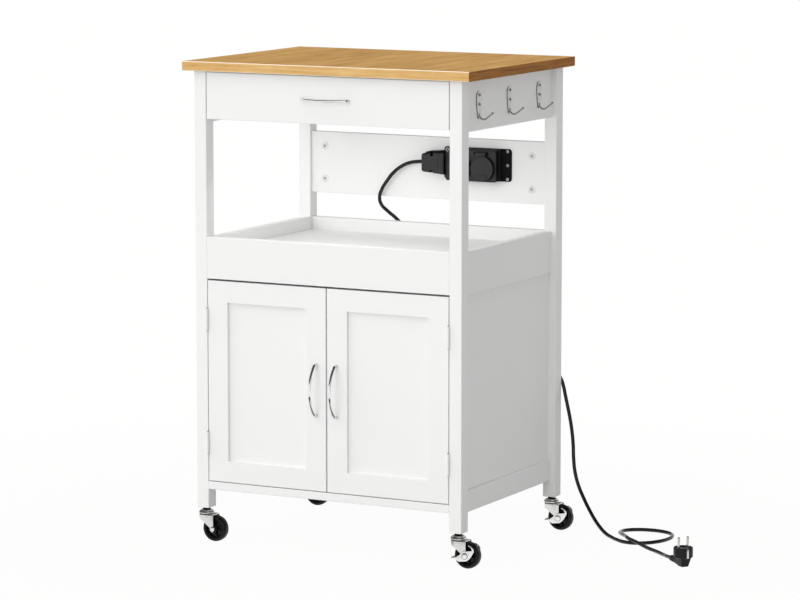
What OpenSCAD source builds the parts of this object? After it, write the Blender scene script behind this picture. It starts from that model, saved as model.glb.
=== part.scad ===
// Rolling kitchen cart: a wooden top on four square legs, a drawer under it, an open
// shelf with a socket strip, a fixed tray, a two-door cabinet and four swivel casters.
// Millimetres. +Z up, front towards -Y, origin on the floor under the middle of the top.

/* [Top] */
// Length of the wooden top, left to right
top_w = 600; // [560:5:700]
// Depth of the wooden top, front to back
top_d = 450; // [420:5:520]
// Thickness of the wooden top
top_t = 18; // [14:1:25]
// Height of the top's upper face above the floor
cart_h = 912; // [880:1:960]
// Chamfer round the edges of the top
top_chamfer = 1.2; // [0.5:0.1:3]

/* [Frame] */
// Width of a leg, left to right
leg_w = 25; // [22:1:34]
// Depth of a leg, front to back
leg_d = 28; // [24:1:36]
// How far the top reaches past the legs at each side
side_overhang = 20; // [10:1:30]
// How far the top reaches past the legs at the front and back
end_overhang = 11; // [6:1:20]
// Thickness of aprons, rails, tray boards and doors
board_t = 15; // [12:0.5:18]
// Eased edge of every painted board
edge_ease = 0.8; // [0.4:0.1:1.5]
// Height of the aprons under the top
apron_h = 96; // [92:1:120]
// How far the aprons and rails sit back from the legs' outer faces
apron_inset = 10; // [9:0.5:13]

/* [Drawer] */
// Height of the drawer front
drawer_front_h = 88; // [76:1:90]
// Gap round the drawer front and between the doors and the legs
front_gap = 1.5; // [1:0.1:2.5]
// Length of the drawer box behind its front
drawer_len = 350; // [280:5:370]
// Thickness of the drawer box boards
drawer_side_t = 12; // [10:0.5:15]
// Height of the drawer box sides
drawer_side_h = 60; // [45:1:65]
// Thickness of the drawer bottom
drawer_bottom_t = 4; // [3:0.5:6]
// Space for a runner between the drawer side and the apron
runner_space = 12.5; // [12.5:0.5:14]

/* [Tray] */
// Height of the tray's side and rear rim above the floor
tray_rim_z = 580; // [560:1:600]
// Height of the tray's side boards
tray_side_h = 80; // [70:1:90]
// How far the tray floor lies below the rim
tray_depth = 25; // [15:1:35]
// How far the front board stands above the side rims
tray_front_rise = 3; // [0:0.5:6]
// Height of the tray's front board
tray_front_h = 79; // [70:1:80]

/* [Cabinet] */
// Height of the cabinet bottom's upper face above the floor
cabinet_floor_z = 117; // [112:1:130]
// Height of the side rails at the foot of the cabinet
side_rail_h = 40; // [30:1:50]
// Height of the side rails' lower edge above the floor
side_rail_z = 97; // [90:1:100]
// Thickness of the cabinet's side panels
side_panel_t = 10; // [8:0.5:10]
// Thickness of the cabinet's back panel
back_panel_t = 3; // [3:0.5:6]
// Thickness of the loose shelf
shelf_t = 15; // [12:0.5:18]
// Height of the loose shelf's upper face above the floor
shelf_z = 310; // [250:5:380]
// Depth of the loose shelf
shelf_depth = 360; // [300:5:370]
// Diameter of a shelf pin
shelf_pin_d = 5; // [4:0.5:6]

/* [Doors] */
// Gap above the doors
door_top_gap = 3.5; // [2:0.5:5]
// Gap between the two doors
door_mid_gap = 2.4; // [2:0.2:4]
// Width of a door's stiles
stile_w = 42; // [35:1:55]
// Height of a door's rails
rail_h = 40; // [35:1:55]
// Depth of the recessed field in a door
field_depth = 6; // [4:0.5:8]
// Length of a hinge knuckle
hinge_len = 42; // [36:2:60]
// Distance from a door's end to the middle of the nearer hinge
hinge_setback = 73.5; // [60:0.5:110]
// Radius of a hinge knuckle
knuckle_r = 2.4; // [2.2:0.1:3]

/* [Handles] */
// Distance between a handle's two screws
handle_pitch = 96; // [64:32:160]
// How far a handle stands out from its door
handle_reach = 29; // [24:1:36]
// Width of a handle's bow
handle_w = 8; // [6:0.5:10]
// Thickness of a handle's bow
handle_t = 4; // [3:0.5:5]
// Height of the middle of the door handles above the floor
door_handle_z = 309; // [250:1:380]
// Distance from a door's free edge to its handle
door_handle_inset = 20; // [16:0.5:30]

/* [Hooks] */
// Distance between two hooks on the right apron
hook_pitch = 127; // [90:1:140]
// Height of a hook plate
hook_plate_h = 50; // [44:1:56]
// Width of a hook plate at its round top
hook_plate_w = 20; // [16:1:24]
// Thickness of a hook plate
hook_plate_t = 1.5; // [1:0.1:2.5]
// Diameter of the hook's rod
hook_rod_d = 3; // [2.5:0.1:4]
// How far a hook reaches out from the apron
hook_reach = 31; // [28:1:36]

/* [Casters] */
// Height of the legs' lower ends above the floor
caster_h = 65; // [64:1:76]
// Diameter of a wheel
wheel_d = 50; // [44:1:50]
// Width of a wheel's tyre
wheel_w = 17; // [14:0.5:18]
// How far the axle trails behind the swivel
caster_trail = 20; // [17:0.5:23]
// Diameter of a wheel's axle
axle_d = 6; // [5:0.5:7]
// Diameter of the swivel stem
stem_d = 8; // [7:0.5:10]
// Length of the stem inside the leg
stem_len = 38; // [25:1:45]
// Diameter of the bearing cap over the fork
cap_d = 30; // [28:1:36]

/* [Socket strip] */
// Height of the socket board
socket_board_h = 120; // [100:1:140]
// Distance of the strip's middle to the right of the cart's middle
strip_x = 111; // [80:1:130]
// Height of the strip's middle above the socket board's middle
strip_rise = 12; // [4:0.5:16]
// Length of the strip over its two ears
strip_len = 144; // [140:1:150]
// Height of the strip
strip_h = 63; // [62:1:70]
// Length of the strip's raised box
strip_box_len = 103; // [102:1:108]
// Depth of the strip's raised box
strip_box_t = 28; // [26:0.5:34]
// Distance between the two sockets
socket_pitch = 50; // [50:0.5:52]
// Diameter of a socket's well
well_d = 39; // [38:0.5:41]
// Diameter of a lid
lid_d = 49; // [46:0.5:49.4]
// Thickness of a lid
lid_t = 9; // [7:0.5:10]

/* [Mains lead] */
// Diameter of the mains lead
cord_d = 7; // [6:0.5:7.5]
// Diameter of the plug's body
plug_d = 36; // [34:1:38]
// Height of the plug's body
plug_h = 36; // [32:1:40]

/* [Hidden] */

$fn = 48;
eps = 0.01;

// Running clearances
seat_gap = 0.3;
pin_clearance = 0.05;

// Legs: outer and inner faces, and centres
leg_x_out = top_w / 2 - side_overhang;
leg_x_in = leg_x_out - leg_w;
leg_y_out = top_d / 2 - end_overhang;
leg_y_in = leg_y_out - leg_d;
leg_x = (leg_x_out + leg_x_in) / 2;
leg_y = (leg_y_out + leg_y_in) / 2;
top_under_z = cart_h - top_t;
apron_x_out = leg_x_out - apron_inset;
apron_x_in = apron_x_out - board_t;
apron_bottom_z = top_under_z - apron_h;

// Boards at the front lie flush with the legs; those at the back lie a little inside
front_y = -leg_y_out;
front_back_y = front_y + board_t;
rear_setback = 6;
rear_y_out = leg_y_out - rear_setback;
rear_y_in = rear_y_out - board_t;

// Tray
tray_side_z = tray_rim_z - tray_side_h;
tray_front_top_z = tray_rim_z + tray_front_rise;
tray_front_z = tray_front_top_z - tray_front_h;
tray_floor_top_z = tray_rim_z - tray_depth;
tray_floor_z = tray_floor_top_z - board_t;

// Cabinet
side_rail_top_z = side_rail_z + side_rail_h;
panel_x_in = leg_x_in;
panel_x_out = panel_x_in + side_panel_t;
back_panel_y = rear_y_out - back_panel_t;
shelf_side_gap = 1;
shelf_back_gap = 4;
shelf_pin_y = 120;
shelf_pin_len = 14;
shelf_pin_hole = 8;
shelf_under_z = shelf_z - shelf_t;

// Doors
door_z0 = cabinet_floor_z + front_gap;
door_z1 = tray_front_z - door_top_gap;
door_x_free = door_mid_gap / 2;
door_x_hinge = leg_x_in - front_gap;
door_back_y = front_back_y;
hinge_z = [door_z0 + hinge_setback, door_z1 - hinge_setback];
hinge_x = leg_x_in - front_gap / 2;
hinge_y = front_y - knuckle_r - seat_gap;
leaf_t = front_gap * 0.4;
fixed_leaf_len = 25;
door_leaf_len = 15;
// Knuckle lengths: the door's leaf has the middle one, the leg's leaf the outer two
knuckle_mid = hinge_len / 3;
knuckle_gap = 0.25;
hinge_pin_r = 1.2;
door_handle_x = door_x_free + door_handle_inset;

// Drawer
drawer_x = leg_x_in - front_gap;
drawer_front_z1 = top_under_z - front_gap;
drawer_front_z0 = drawer_front_z1 - drawer_front_h;
drawer_side_x = leg_x_in - runner_space;
drawer_side_z = drawer_front_z0 + 11;
drawer_end_y = front_back_y + drawer_len;
drawer_groove = 6;
drawer_bottom_z = drawer_side_z + 6;
drawer_handle_z = (drawer_front_z0 + drawer_front_z1) / 2 + 1;

// Runners: a fixed channel on each apron and a slide on each drawer side
runner_sheet = 1;
roller_r = 8;
runner_floor_z = drawer_side_z + 9;
roller_z = runner_floor_z + runner_sheet + roller_r + seat_gap;
runner_y0 = -leg_y_in + 2;
runner_y1 = runner_y0 + drawer_len - 20;
front_roller_y = runner_y0 + roller_r + 2;
rear_roller_y = drawer_end_y - roller_r - 3;
channel_x_in = leg_x_in - runner_space + 3.5;
runner_web_h = 24;
runner_lip_h = 4;
roller_w = 5;
roller_stub_r = 2.5;
slide_foot = 11;

// Hooks
hook_count = 3;
hook_plate_z0 = apron_bottom_z + 22;
hook_plate_z1 = hook_plate_z0 + hook_plate_h;
hook_screw_drop = [7, 24.5];
hook_screw_z = [for (d = hook_screw_drop) hook_plate_z1 - d];
hook_foot = 8;
hook_taper = 12;
hook_tip_spare = 0.8;
hook_bend_r = 9;
hook_bend_z = 7.5;
hook_rise = 38;
hook_places = [for (i = [0 : hook_count - 1]) (i - (hook_count - 1) / 2) * hook_pitch];

// Small pan-head screws
screw_head_r = 3;
screw_head_t = 1.8;
screw_r = 1.5;
screw_len = 10;
screw_clearance = 0.1;
screw_hole_spare = 0.5;

// Casters, from the floor up
wheel_r = wheel_d / 2;
fork_sheet = 1.8;
fork_under_z = wheel_d + 0.8;
fork_top_z = fork_under_z + fork_sheet;
cap_z = fork_top_z + seat_gap;
cap_lower_t = 4.2;
cap_upper_t = 3;
cap_step = 2.5;
cap_top_z = cap_z + cap_lower_t + cap_upper_t;
collar_r = 7;
hub_half = wheel_w / 2 + 2.2;
fork_in_y = hub_half + seat_gap;
fork_out_y = fork_in_y + 2;
fork_front_x = caster_trail + 1;
fork_back_x = -9.5;
fork_back_h = 7;
fork_corner = 1.5;
fork_eye_r = 6.2;
rivet_gap = 0.2;
rivet_head_t = 1.6;
rivet_head_r = axle_d / 2 + 1.8;
kingpin_head_r = 6;
kingpin_head_t = 1.5;
brake_in_y = fork_out_y + seat_gap;
brake_sheet = 1.5;
brake_out_y = brake_in_y + brake_sheet;
brake_ring_r = 9.6;
// Pedal's lower outer edge, from the axle
brake_pedal = [-28.5, -6];
brake_pedal_w = 3;
brake_pedal_lip = 2;
brake_pedal_half = 7;
caster_sides = [[-1, -1], [1, -1], [-1, 1], [1, 1]];

// Socket board, halfway up the opening between the tray's rim and the rear apron
socket_board_mid_z = (tray_rim_z + apron_bottom_z) / 2;
socket_board_z = socket_board_mid_z - socket_board_h / 2;
strip_z = socket_board_mid_z + strip_rise;

// Socket strip, measured from the socket board's front face
board_front_y = rear_y_in;
strip_face_y = board_front_y - strip_box_t;
ear_t = 3;
ear_hole_x = strip_len / 2 - 8;
ear_hole_z = strip_h / 2 - 5;
// Screws in the ears, as sides from the strip's middle; the gland covers the left ear's middle
ear_screws = [[-1, -1], [-1, 1], [1, -1], [1, 0], [1, 1]];
socket_z = strip_z - 5.5;
well_depth = 17.5;
plug_pin_pitch = 19;
plug_pin_r = 2.4;
lid_pivot_r = 3;
lid_pivot_y = strip_face_y - lid_pivot_r - 0.2;
lid_pivot_z = socket_z + lid_d / 2 + 4.5;
lid_neck = [-15, 6];
lid_lug_w = 3;
lid_wall = 2;
lid_pin_r = 1.2;
gland_x0 = 3.5;
gland_y = (board_front_y + strip_face_y) / 2 - 1;
gland_z = strip_z + 0.5;
// Gland's reach below and above its middle, from the lead's end to the box
gland_low = [12, 15.5, 18, 22];
gland_high = [12, 17, 18.5, 22, 25];

// Cam locks that hold the socket board between the rear legs
cam_r = 7.4;
cam_depth = 12;
cam_setback = 30;
cam_edge = 28;
cam_bolt_r = 3;
cam_bolt_reach = 10;
cam_rim = 0.6;
board_mid_y = (rear_y_in + rear_y_out) / 2;
// Middles of the four cam locks
cam_places = [
  for (sx = [-1, 1], z = [cam_edge, socket_board_h - cam_edge])
    [sx * (leg_x_in - cam_setback), socket_board_z + z]
];

// Magnetic catch between the doors
catch_w = 44;
catch_d = 15;
catch_h = 12;
catch_hole_r = 2.2;
catch_hole_depth = 4;
strike_t = 1;
strike_h = 9;

// Plug: it stands on its back with the pins up, its lead leaving sideways
plug_pos = [629, 0];
plug_dir = 144;
plug_boot_z = 8;
plug_boot_len = 42;
plug_pin_len = 19;
plug_head_t = 19;
plug_back_z = 9;
// Half width and half length of the plug's back, at the floor and higher up
plug_back_low = [7, 8];
plug_back_high = [8.5, 10.5];
plug_boot_x = 6;
plug_boot_r = [7.8, 5.2];
plug_head_z = plug_h - plug_head_t;
earth_strip_w = 4.4;
earth_strip_t = 0.9;
earth_channel = 1.6;

// Clip on the back of the rear right leg
clip_pos = [leg_x - 4.5, 306];
clip_turn = -40;
clip_base_t = 1.5;
clip_wall = 1.7;
clip_r = cord_d / 2 + 0.4;
clip_out_r = clip_r + clip_wall;
clip_len = 10;
clip_y = leg_y_out + clip_base_t + 0.2 + cord_d / 2;
clip_screw_rise = clip_out_r + screw_head_r + seat_gap;
clip_foot = clip_screw_rise + screw_head_r + 1;
clip_screw_len = 9;
clip_screw = [
  clip_pos[0] - clip_screw_rise * sin(clip_turn),
  clip_pos[1] + clip_screw_rise * cos(clip_turn)
];

// The mains lead's route, from the gland to the plug's boot
plug_boot_end = [
  plug_pos[0] + plug_boot_len * cos(plug_dir),
  plug_pos[1] + plug_boot_len * sin(plug_dir)
];
cord_route = [
  [-12, 178, 701.2], [-32, 178, 697.5], [-50, 178, 689],
  [-66, 178, 676.5], [-80, 178.5, 660], [-92, 180, 643], [-99, 184, 627],
  [-99.5, 192, 612], [-91, 203, 598], [-77, 211, 584], [-62, 214.5, 567],
  [-46, 215.5, 546], [-28, 216, 521], [-6, 216.5, 494], [20, 217, 466],
  [50, 217.5, 438], [84, 218, 411], [120, 218.5, 386], [157, 219, 363.5],
  [193, 219.2, 343.5], [225, 219.2, 327.5], [247, 219.2, 316.5], [259, 219.2, 309.3],
  [267, 219.2, 302.7], [276, 219.2, 293], [282.5, 218.5, 278], [287, 217.5, 261],
  [293, 215.5, 240], [299, 213.5, 218], [304.5, 211.5, 192], [308, 210, 165],
  [309.5, 209, 140], [313, 207.5, 116], [322, 204, 90.5], [336, 199, 66.5],
  [353, 192.5, 43], [372, 185, 22], [392, 176, 8], [412, 162.5, 3.8],
  [431, 146, 3.6], [452, 134, 3.6], [474, 134.5, 3.6], [493, 147, 3.6],
  [506, 167, 3.6], [513, 192, 3.6], [511.5, 220, 3.6], [499.5, 244, 3.6],
  [478, 257.5, 3.6], [452, 260.5, 3.6], [426, 252.5, 3.8], [410, 234, 4.4],
  [409.5, 208, 5.8], [422, 184, 8], [442, 158, 10.4], [461, 133, 11.2],
  [484, 119, 8.6], [512, 101, 4.8], [541, 80.5, 3.8], [565, 57.5, 4.5], [582, 37.5, 6.6]
];

// ---------- shared shapes ----------

// Corners of a rectangle from the origin with all four corners cut
function cut_rect(w, h, c) = [
  [c, 0], [w - c, 0], [w, c], [w, h - c], [w - c, h], [c, h], [0, h - c], [0, c]
];

// Board between two values on each axis, with every edge eased
module board(x, y, z, ease = edge_ease) {
  w = x[1] - x[0];
  d = y[1] - y[0];
  h = z[1] - z[0];
  translate([x[0], y[0], z[0]]) intersection() {
    linear_extrude(h) polygon(cut_rect(w, d, ease));
    translate([0, d, 0]) rotate([90, 0, 0]) linear_extrude(d) polygon(cut_rect(w, h, ease));
    rotate([90, 0, 90]) linear_extrude(w) polygon(cut_rect(d, h, ease));
  }
}

// Plain block between two values on each axis
module block(x, y, z) {
  translate([x[0], y[0], z[0]]) cube([x[1] - x[0], y[1] - y[0], z[1] - z[0]]);
}

// Cylinder from p along +X, +Y or +Z
module rod_x(p, r, l) {
  translate(p) rotate([0, 90, 0]) cylinder(r = r, h = l);
}

module rod_y(p, r, l) {
  translate(p) rotate([-90, 0, 0]) cylinder(r = r, h = l);
}

module rod_z(p, r, l) {
  translate(p) cylinder(r = r, h = l);
}

// Drawn for the right side as given, or mirrored for the left
module on_side(side) {
  if (side > 0) children();
  else mirror([1, 0, 0]) children();
}

// Flat shape in the X-Z plane, given thickness along +Y from y
module upright(y, t) {
  translate([0, y + t, 0]) rotate([90, 0, 0]) linear_extrude(t) children();
}

// Rectangle with round corners, centred
module round_rect(w, h, r) {
  square([w - 2 * r, h], center = true);
  square([w, h - 2 * r], center = true);
  for (sx = [-1, 1], sy = [-1, 1])
    translate([sx * (w / 2 - r), sy * (h / 2 - r)]) circle(r = r);
}

// Pan-head screw along +Y, its head's underside at the origin
module pan_screw(shank = screw_len) {
  rod_y([0, -screw_head_t * 0.55, 0], screw_head_r, screw_head_t * 0.55);
  rod_y([0, -screw_head_t, 0], screw_head_r * 0.72, screw_head_t);
  rod_y([0, -eps, 0], screw_r, shank);
}

// ---------- top and frame ----------

module tabletop() {
  color("burlywood")
    board([-top_w / 2, top_w / 2], [-top_d / 2, top_d / 2], [top_under_z, cart_h], top_chamfer);
}

// One leg; sx and sy give its corner
module leg(sx, sy) {
  color("whitesmoke") difference() {
    board(
      sx > 0 ? [leg_x_in, leg_x_out] : [-leg_x_out, -leg_x_in],
      sy > 0 ? [leg_y_in, leg_y_out] : [-leg_y_out, -leg_y_in],
      [caster_h, top_under_z]
    );
    rod_z(
      [sx * leg_x, sy * leg_y, caster_h - 1],
      stem_d / 2 + screw_clearance, stem_len + 1 + screw_hole_spare
    );
    if (sy > 0) for (p = cam_places) cam_lock(p, screw_clearance);
    if (sy > 0 && sx > 0) clip_screw_hole();
  }
}

module apron_side(side) {
  color("whitesmoke") difference() {
    on_side(side)
      board([apron_x_in, apron_x_out], [-leg_y_in, leg_y_in], [apron_bottom_z, top_under_z]);
    if (side > 0) hook_screws(screw_clearance);
  }
}

module apron_rear() {
  color("whitesmoke")
    board([-leg_x_in, leg_x_in], [rear_y_in, rear_y_out], [apron_bottom_z, top_under_z]);
}

// One cam lock with its bolt; grow gives its hole
module cam_lock(p, grow = 0) {
  front = grow > 0 ? 1 : 0;
  rod_y([p[0], rear_y_in - front, p[1]], cam_r + grow, cam_depth + grow + front);
  on_side(p[0])
    rod_x([abs(p[0]), board_mid_y, p[1]], cam_bolt_r + grow, cam_setback + cam_bolt_reach + grow);
}

module cam_locks() {
  slot = [6.8, 1.2, 1.2];
  color("white") for (p = cam_places) difference() {
    union() {
      cam_lock(p);
      rod_y([p[0], rear_y_in - cam_rim, p[1]], cam_r + 0.3, cam_rim);
    }
    for (a = [45, 135])
      translate([p[0], rear_y_in - cam_rim, p[1]]) rotate([0, a, 0]) cube(slot, center = true);
  }
}

module socket_board() {
  color("whitesmoke") difference() {
    board(
      [-leg_x_in, leg_x_in], [rear_y_in, rear_y_out],
      [socket_board_z, socket_board_z + socket_board_h]
    );
    for (p = cam_places) cam_lock(p, screw_clearance);
    strip_screws(screw_clearance);
  }
}

// ---------- tray ----------

module tray_front() {
  color("whitesmoke")
    board([-leg_x_in, leg_x_in], [front_y, front_back_y], [tray_front_z, tray_front_top_z]);
}

module tray_rear() {
  color("whitesmoke")
    board([-leg_x_in, leg_x_in], [rear_y_in, rear_y_out], [tray_side_z, tray_rim_z]);
}

module tray_side(side) {
  color("whitesmoke") on_side(side)
    board([apron_x_in, apron_x_out], [-leg_y_in, leg_y_in], [tray_side_z, tray_rim_z]);
}

module tray_floor() {
  color("white")
    board([-leg_x_in, leg_x_in], [front_back_y, rear_y_in], [tray_floor_z, tray_floor_top_z]);
}

// ---------- cabinet ----------

module side_panel(side) {
  color("whitesmoke") difference() {
    on_side(side)
      board([panel_x_in, panel_x_out], [-leg_y_in, leg_y_in], [side_rail_top_z, tray_side_z]);
    shelf_pin_set(screw_clearance);
  }
}

module side_rails() {
  color("whitesmoke") for (s = [-1, 1]) on_side(s)
    board([apron_x_in, apron_x_out], [-leg_y_in, leg_y_in], [side_rail_z, side_rail_top_z]);
}

module bottom_panel() {
  color("whitesmoke")
    board(
      [-leg_x_in, leg_x_in], [front_y, rear_y_out],
      [cabinet_floor_z - board_t, cabinet_floor_z]
    );
}

module back_panel() {
  color("white")
    block([-leg_x_in, leg_x_in], [back_panel_y, rear_y_out], [cabinet_floor_z, tray_side_z]);
}

module shelf() {
  color("white")
    board(
      [-leg_x_in + shelf_side_gap, leg_x_in - shelf_side_gap],
      [back_panel_y - shelf_back_gap - shelf_depth, back_panel_y - shelf_back_gap],
      [shelf_under_z, shelf_z]
    );
}

module shelf_pin_set(grow = 0) {
  for (s = [-1, 1], y = [-shelf_pin_y, shelf_pin_y]) on_side(s)
    rod_x(
      [panel_x_in + shelf_pin_hole - shelf_pin_len, y, shelf_under_z - shelf_pin_d / 2],
      shelf_pin_d / 2 + grow,
      shelf_pin_len + (grow > 0 ? 0.3 : 0)
    );
}

module shelf_pins() {
  color("silver") shelf_pin_set();
}

module door_catch() {
  y0 = door_back_y + strike_t + seat_gap;
  z = cabinet_floor_z;
  color("white") difference() {
    block([-catch_w / 2, catch_w / 2], [y0, y0 + catch_d], [z, z + catch_h]);
    for (s = [-1, 1])
      rod_z(
        [s * catch_w / 4, y0 + catch_d * 0.6, z + catch_h - catch_hole_depth],
        catch_hole_r, catch_hole_depth + 1
      );
  }
}

// ---------- hinges and doors ----------

// Leaf on the leg for one hinge of the right door
module fixed_leaf(z) {
  x_out = leg_x_in;
  outer = (hinge_len - knuckle_mid) / 2;
  difference() {
    union() {
      for (s = [-1, 1]) {
        z0 = s > 0 ? z + knuckle_mid / 2 : z - hinge_len / 2;
        rod_z([hinge_x, hinge_y, z0], knuckle_r, outer);
        block([x_out - leaf_t, x_out], [hinge_y, front_y + 2], [z0, z0 + outer]);
      }
      block(
        [x_out - leaf_t, x_out], [front_y + 1, front_y + fixed_leaf_len],
        [z - hinge_len / 2, z + hinge_len / 2]
      );
    }
    rod_z([hinge_x, hinge_y, z - hinge_len / 2 - 1], hinge_pin_r + pin_clearance, hinge_len + 2);
    // Room for the middle knuckle
    rod_z([hinge_x, hinge_y, z - knuckle_mid / 2 - eps], knuckle_r + seat_gap, knuckle_mid + 2 * eps);
  }
}

// Leaf on the door, with its knuckle and the pin
module door_leaf(z) {
  mid = knuckle_mid - 2 * knuckle_gap;
  x_door = door_x_hinge;
  rod_z([hinge_x, hinge_y, z - mid / 2], knuckle_r, mid);
  rod_z([hinge_x, hinge_y, z - hinge_len / 2], hinge_pin_r, hinge_len);
  block([x_door, x_door + leaf_t], [hinge_y, front_y + 2], [z - mid / 2, z + mid / 2]);
  block(
    [x_door, x_door + leaf_t], [front_y + 1, front_y + door_leaf_len],
    [z - hinge_len / 2, z + hinge_len / 2]
  );
}

module hinge_leaves() {
  color("white") for (s = [-1, 1], z = hinge_z) on_side(s) fixed_leaf(z);
}

module door(side) {
  color("whitesmoke") on_side(side) difference() {
    board([door_x_free, door_x_hinge], [front_y, door_back_y], [door_z0, door_z1]);
    block(
      [door_x_free + stile_w, door_x_hinge - stile_w],
      [front_y - 1, front_y + field_depth],
      [door_z0 + rail_h, door_z1 - rail_h]
    );
  }
}

module door_fittings(side) {
  color("white") on_side(side) {
    for (z = hinge_z) door_leaf(z);
    strike_z = door_z0 + 1;
    block(
      [door_x_free + 2, catch_w / 2 - 1], [door_back_y, door_back_y + strike_t],
      [strike_z, strike_z + strike_h]
    );
  }
}

// ---------- handles ----------

// Bow handle, upright on the X-Z plane, centred on the origin and reaching towards -Y
module bow_handle() {
  end_reach = handle_t / 2 + 2;
  half = handle_pitch / 2 + 3;
  rise = handle_reach - handle_t / 2 - end_reach;
  bow_r = (half * half + rise * rise) / (2 * rise);
  sweep = 2 * asin(half / bow_r);
  foot_reach = end_reach + sqrt(bow_r * bow_r - handle_pitch * handle_pitch / 4) - (bow_r - rise);
  translate([0, -end_reach + bow_r - rise, 0]) rotate([0, 90, 0]) rotate([0, 0, 270 - sweep / 2])
    rotate_extrude(angle = sweep, $fn = 128) translate([bow_r, 0])
      round_rect(handle_t, handle_w, handle_t / 2 - 0.01);
  for (s = [-1, 1])
    rod_y([0, -foot_reach, s * handle_pitch / 2], handle_t / 2 + 1.2, foot_reach);
}

module drawer_handle() {
  color("silver") translate([0, front_y, drawer_handle_z]) rotate([0, 90, 0]) bow_handle();
}

module door_handle(side) {
  color("silver") on_side(side) translate([door_handle_x, front_y, door_handle_z]) bow_handle();
}

// ---------- drawer ----------

module drawer_front() {
  color("whitesmoke")
    board([-drawer_x, drawer_x], [front_y, front_back_y], [drawer_front_z0, drawer_front_z1]);
}

module drawer_side(side) {
  x_in = drawer_side_x - drawer_side_t;
  color("white") on_side(side) difference() {
    block(
      [x_in, drawer_side_x], [front_back_y, drawer_end_y],
      [drawer_side_z, drawer_side_z + drawer_side_h]
    );
    block(
      [x_in - 1, x_in + drawer_groove],
      [front_back_y - 1, drawer_end_y + 1],
      [drawer_bottom_z, drawer_bottom_z + drawer_bottom_t]
    );
  }
}

module drawer_back() {
  x = drawer_side_x - drawer_side_t;
  color("white")
    block(
      [-x, x], [drawer_end_y - drawer_side_t, drawer_end_y],
      [drawer_bottom_z + drawer_bottom_t, drawer_side_z + drawer_side_h]
    );
}

module drawer_bottom() {
  x = drawer_side_x - drawer_side_t + drawer_groove - 0.1;
  color("white")
    block([-x, x], [front_back_y, drawer_end_y], [drawer_bottom_z, drawer_bottom_z + drawer_bottom_t]);
}

// Channel and roller screwed to one apron; the roller's stub holds it to the channel's web
module fixed_runner() {
  web_x = apron_x_in - runner_sheet;
  block([web_x, apron_x_in], [runner_y0, runner_y1], [runner_floor_z, runner_floor_z + runner_web_h]);
  block(
    [channel_x_in, apron_x_in], [runner_y0, runner_y1],
    [runner_floor_z, runner_floor_z + runner_sheet]
  );
  block(
    [channel_x_in, channel_x_in + runner_sheet], [runner_y0, runner_y1],
    [runner_floor_z, runner_floor_z + runner_lip_h]
  );
  rod_x([channel_x_in + 1.5, front_roller_y, roller_z], roller_r, roller_w);
  rod_x([channel_x_in + 1.5, front_roller_y, roller_z], roller_stub_r, web_x - channel_x_in - 1);
}

// Slide on one drawer side: it runs on the fixed roller and has a roller of its own behind
module drawer_slide() {
  web = runner_sheet;
  y0 = front_back_y + 1;
  top_z = roller_z + roller_r + seat_gap;
  block([drawer_side_x, drawer_side_x + web], [y0, drawer_end_y], [drawer_side_z - web, top_z + web]);
  block(
    [drawer_side_x - slide_foot, drawer_side_x + web], [y0, drawer_end_y],
    [drawer_side_z - web, drawer_side_z]
  );
  block([drawer_side_x, apron_x_in - runner_sheet - 1.2], [y0, drawer_end_y], [top_z, top_z + web]);
  rod_x([channel_x_in + runner_sheet + 0.6, rear_roller_y, roller_z], roller_r, roller_w);
  rod_x([drawer_side_x, rear_roller_y, roller_z], 2, channel_x_in - drawer_side_x + 3);
}

module drawer_runners() {
  color("white") for (s = [-1, 1]) on_side(s) fixed_runner();
}

module drawer_slides() {
  color("white") for (s = [-1, 1]) on_side(s) drawer_slide();
}

// ---------- hooks and small screws ----------

// Plate outline in the Y-Z plane: a round top that narrows to the rod
module hook_plate_outline() {
  r = hook_plate_w / 2;
  foot = hook_rod_d + hook_foot;
  translate([0, hook_plate_h - r]) circle(r = r);
  polygon([
    [-r, hook_plate_h - r], [-r, hook_plate_h - r - hook_taper], [-foot / 2, 3],
    [-foot / 2 + 2.5, 0], [foot / 2 - 2.5, 0], [foot / 2, 3],
    [r, hook_plate_h - r - hook_taper], [r, hook_plate_h - r]
  ]);
}

module hook() {
  rod_r = hook_rod_d / 2;
  tip_r = rod_r + hook_tip_spare;
  // The rod's back runs just off the apron
  bend_x = rod_r + pin_clearance + hook_bend_r;
  out = [cos(hook_rise), sin(hook_rise)];
  bend_end = [bend_x + hook_bend_r * out[1], hook_bend_z - hook_bend_r * out[0]];
  run = (hook_reach - tip_r - bend_end[0]) / out[0];
  difference() {
    rotate([90, 0, 90]) linear_extrude(hook_plate_t) hook_plate_outline();
    for (z = hook_screw_z)
      rod_x([-1, 0, z - hook_plate_z0], screw_r + screw_clearance, hook_plate_t + 2);
  }
  translate([bend_x - hook_bend_r, 0, hook_bend_z]) cylinder(r = rod_r, h = 9);
  translate([bend_x, 0, hook_bend_z]) rotate([90, 0, 0]) rotate([0, 0, 180])
    rotate_extrude(angle = 90 + hook_rise, $fn = 64) translate([hook_bend_r, 0])
      circle(r = rod_r, $fn = 24);
  translate([bend_end[0], 0, bend_end[1]]) rotate([0, 90 - hook_rise, 0])
    cylinder(r = rod_r, h = run, $fn = 24);
  translate([bend_end[0] + run * out[0], 0, bend_end[1] + run * out[1]])
    sphere(r = tip_r, $fn = 24);
}

module side_hooks() {
  color("silver") for (y = hook_places) translate([apron_x_out, y, hook_plate_z0]) hook();
}

// Screw positions on the hooks, heads outward along +X; grow gives their holes
module hook_screws(grow = 0) {
  for (y = hook_places, z = hook_screw_z)
    translate([apron_x_out + hook_plate_t, y, z]) rotate([0, 0, 90])
      if (grow > 0) rod_y([0, -1, 0], screw_r + grow, screw_len + 1 + screw_hole_spare);
      else pan_screw();
}

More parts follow.
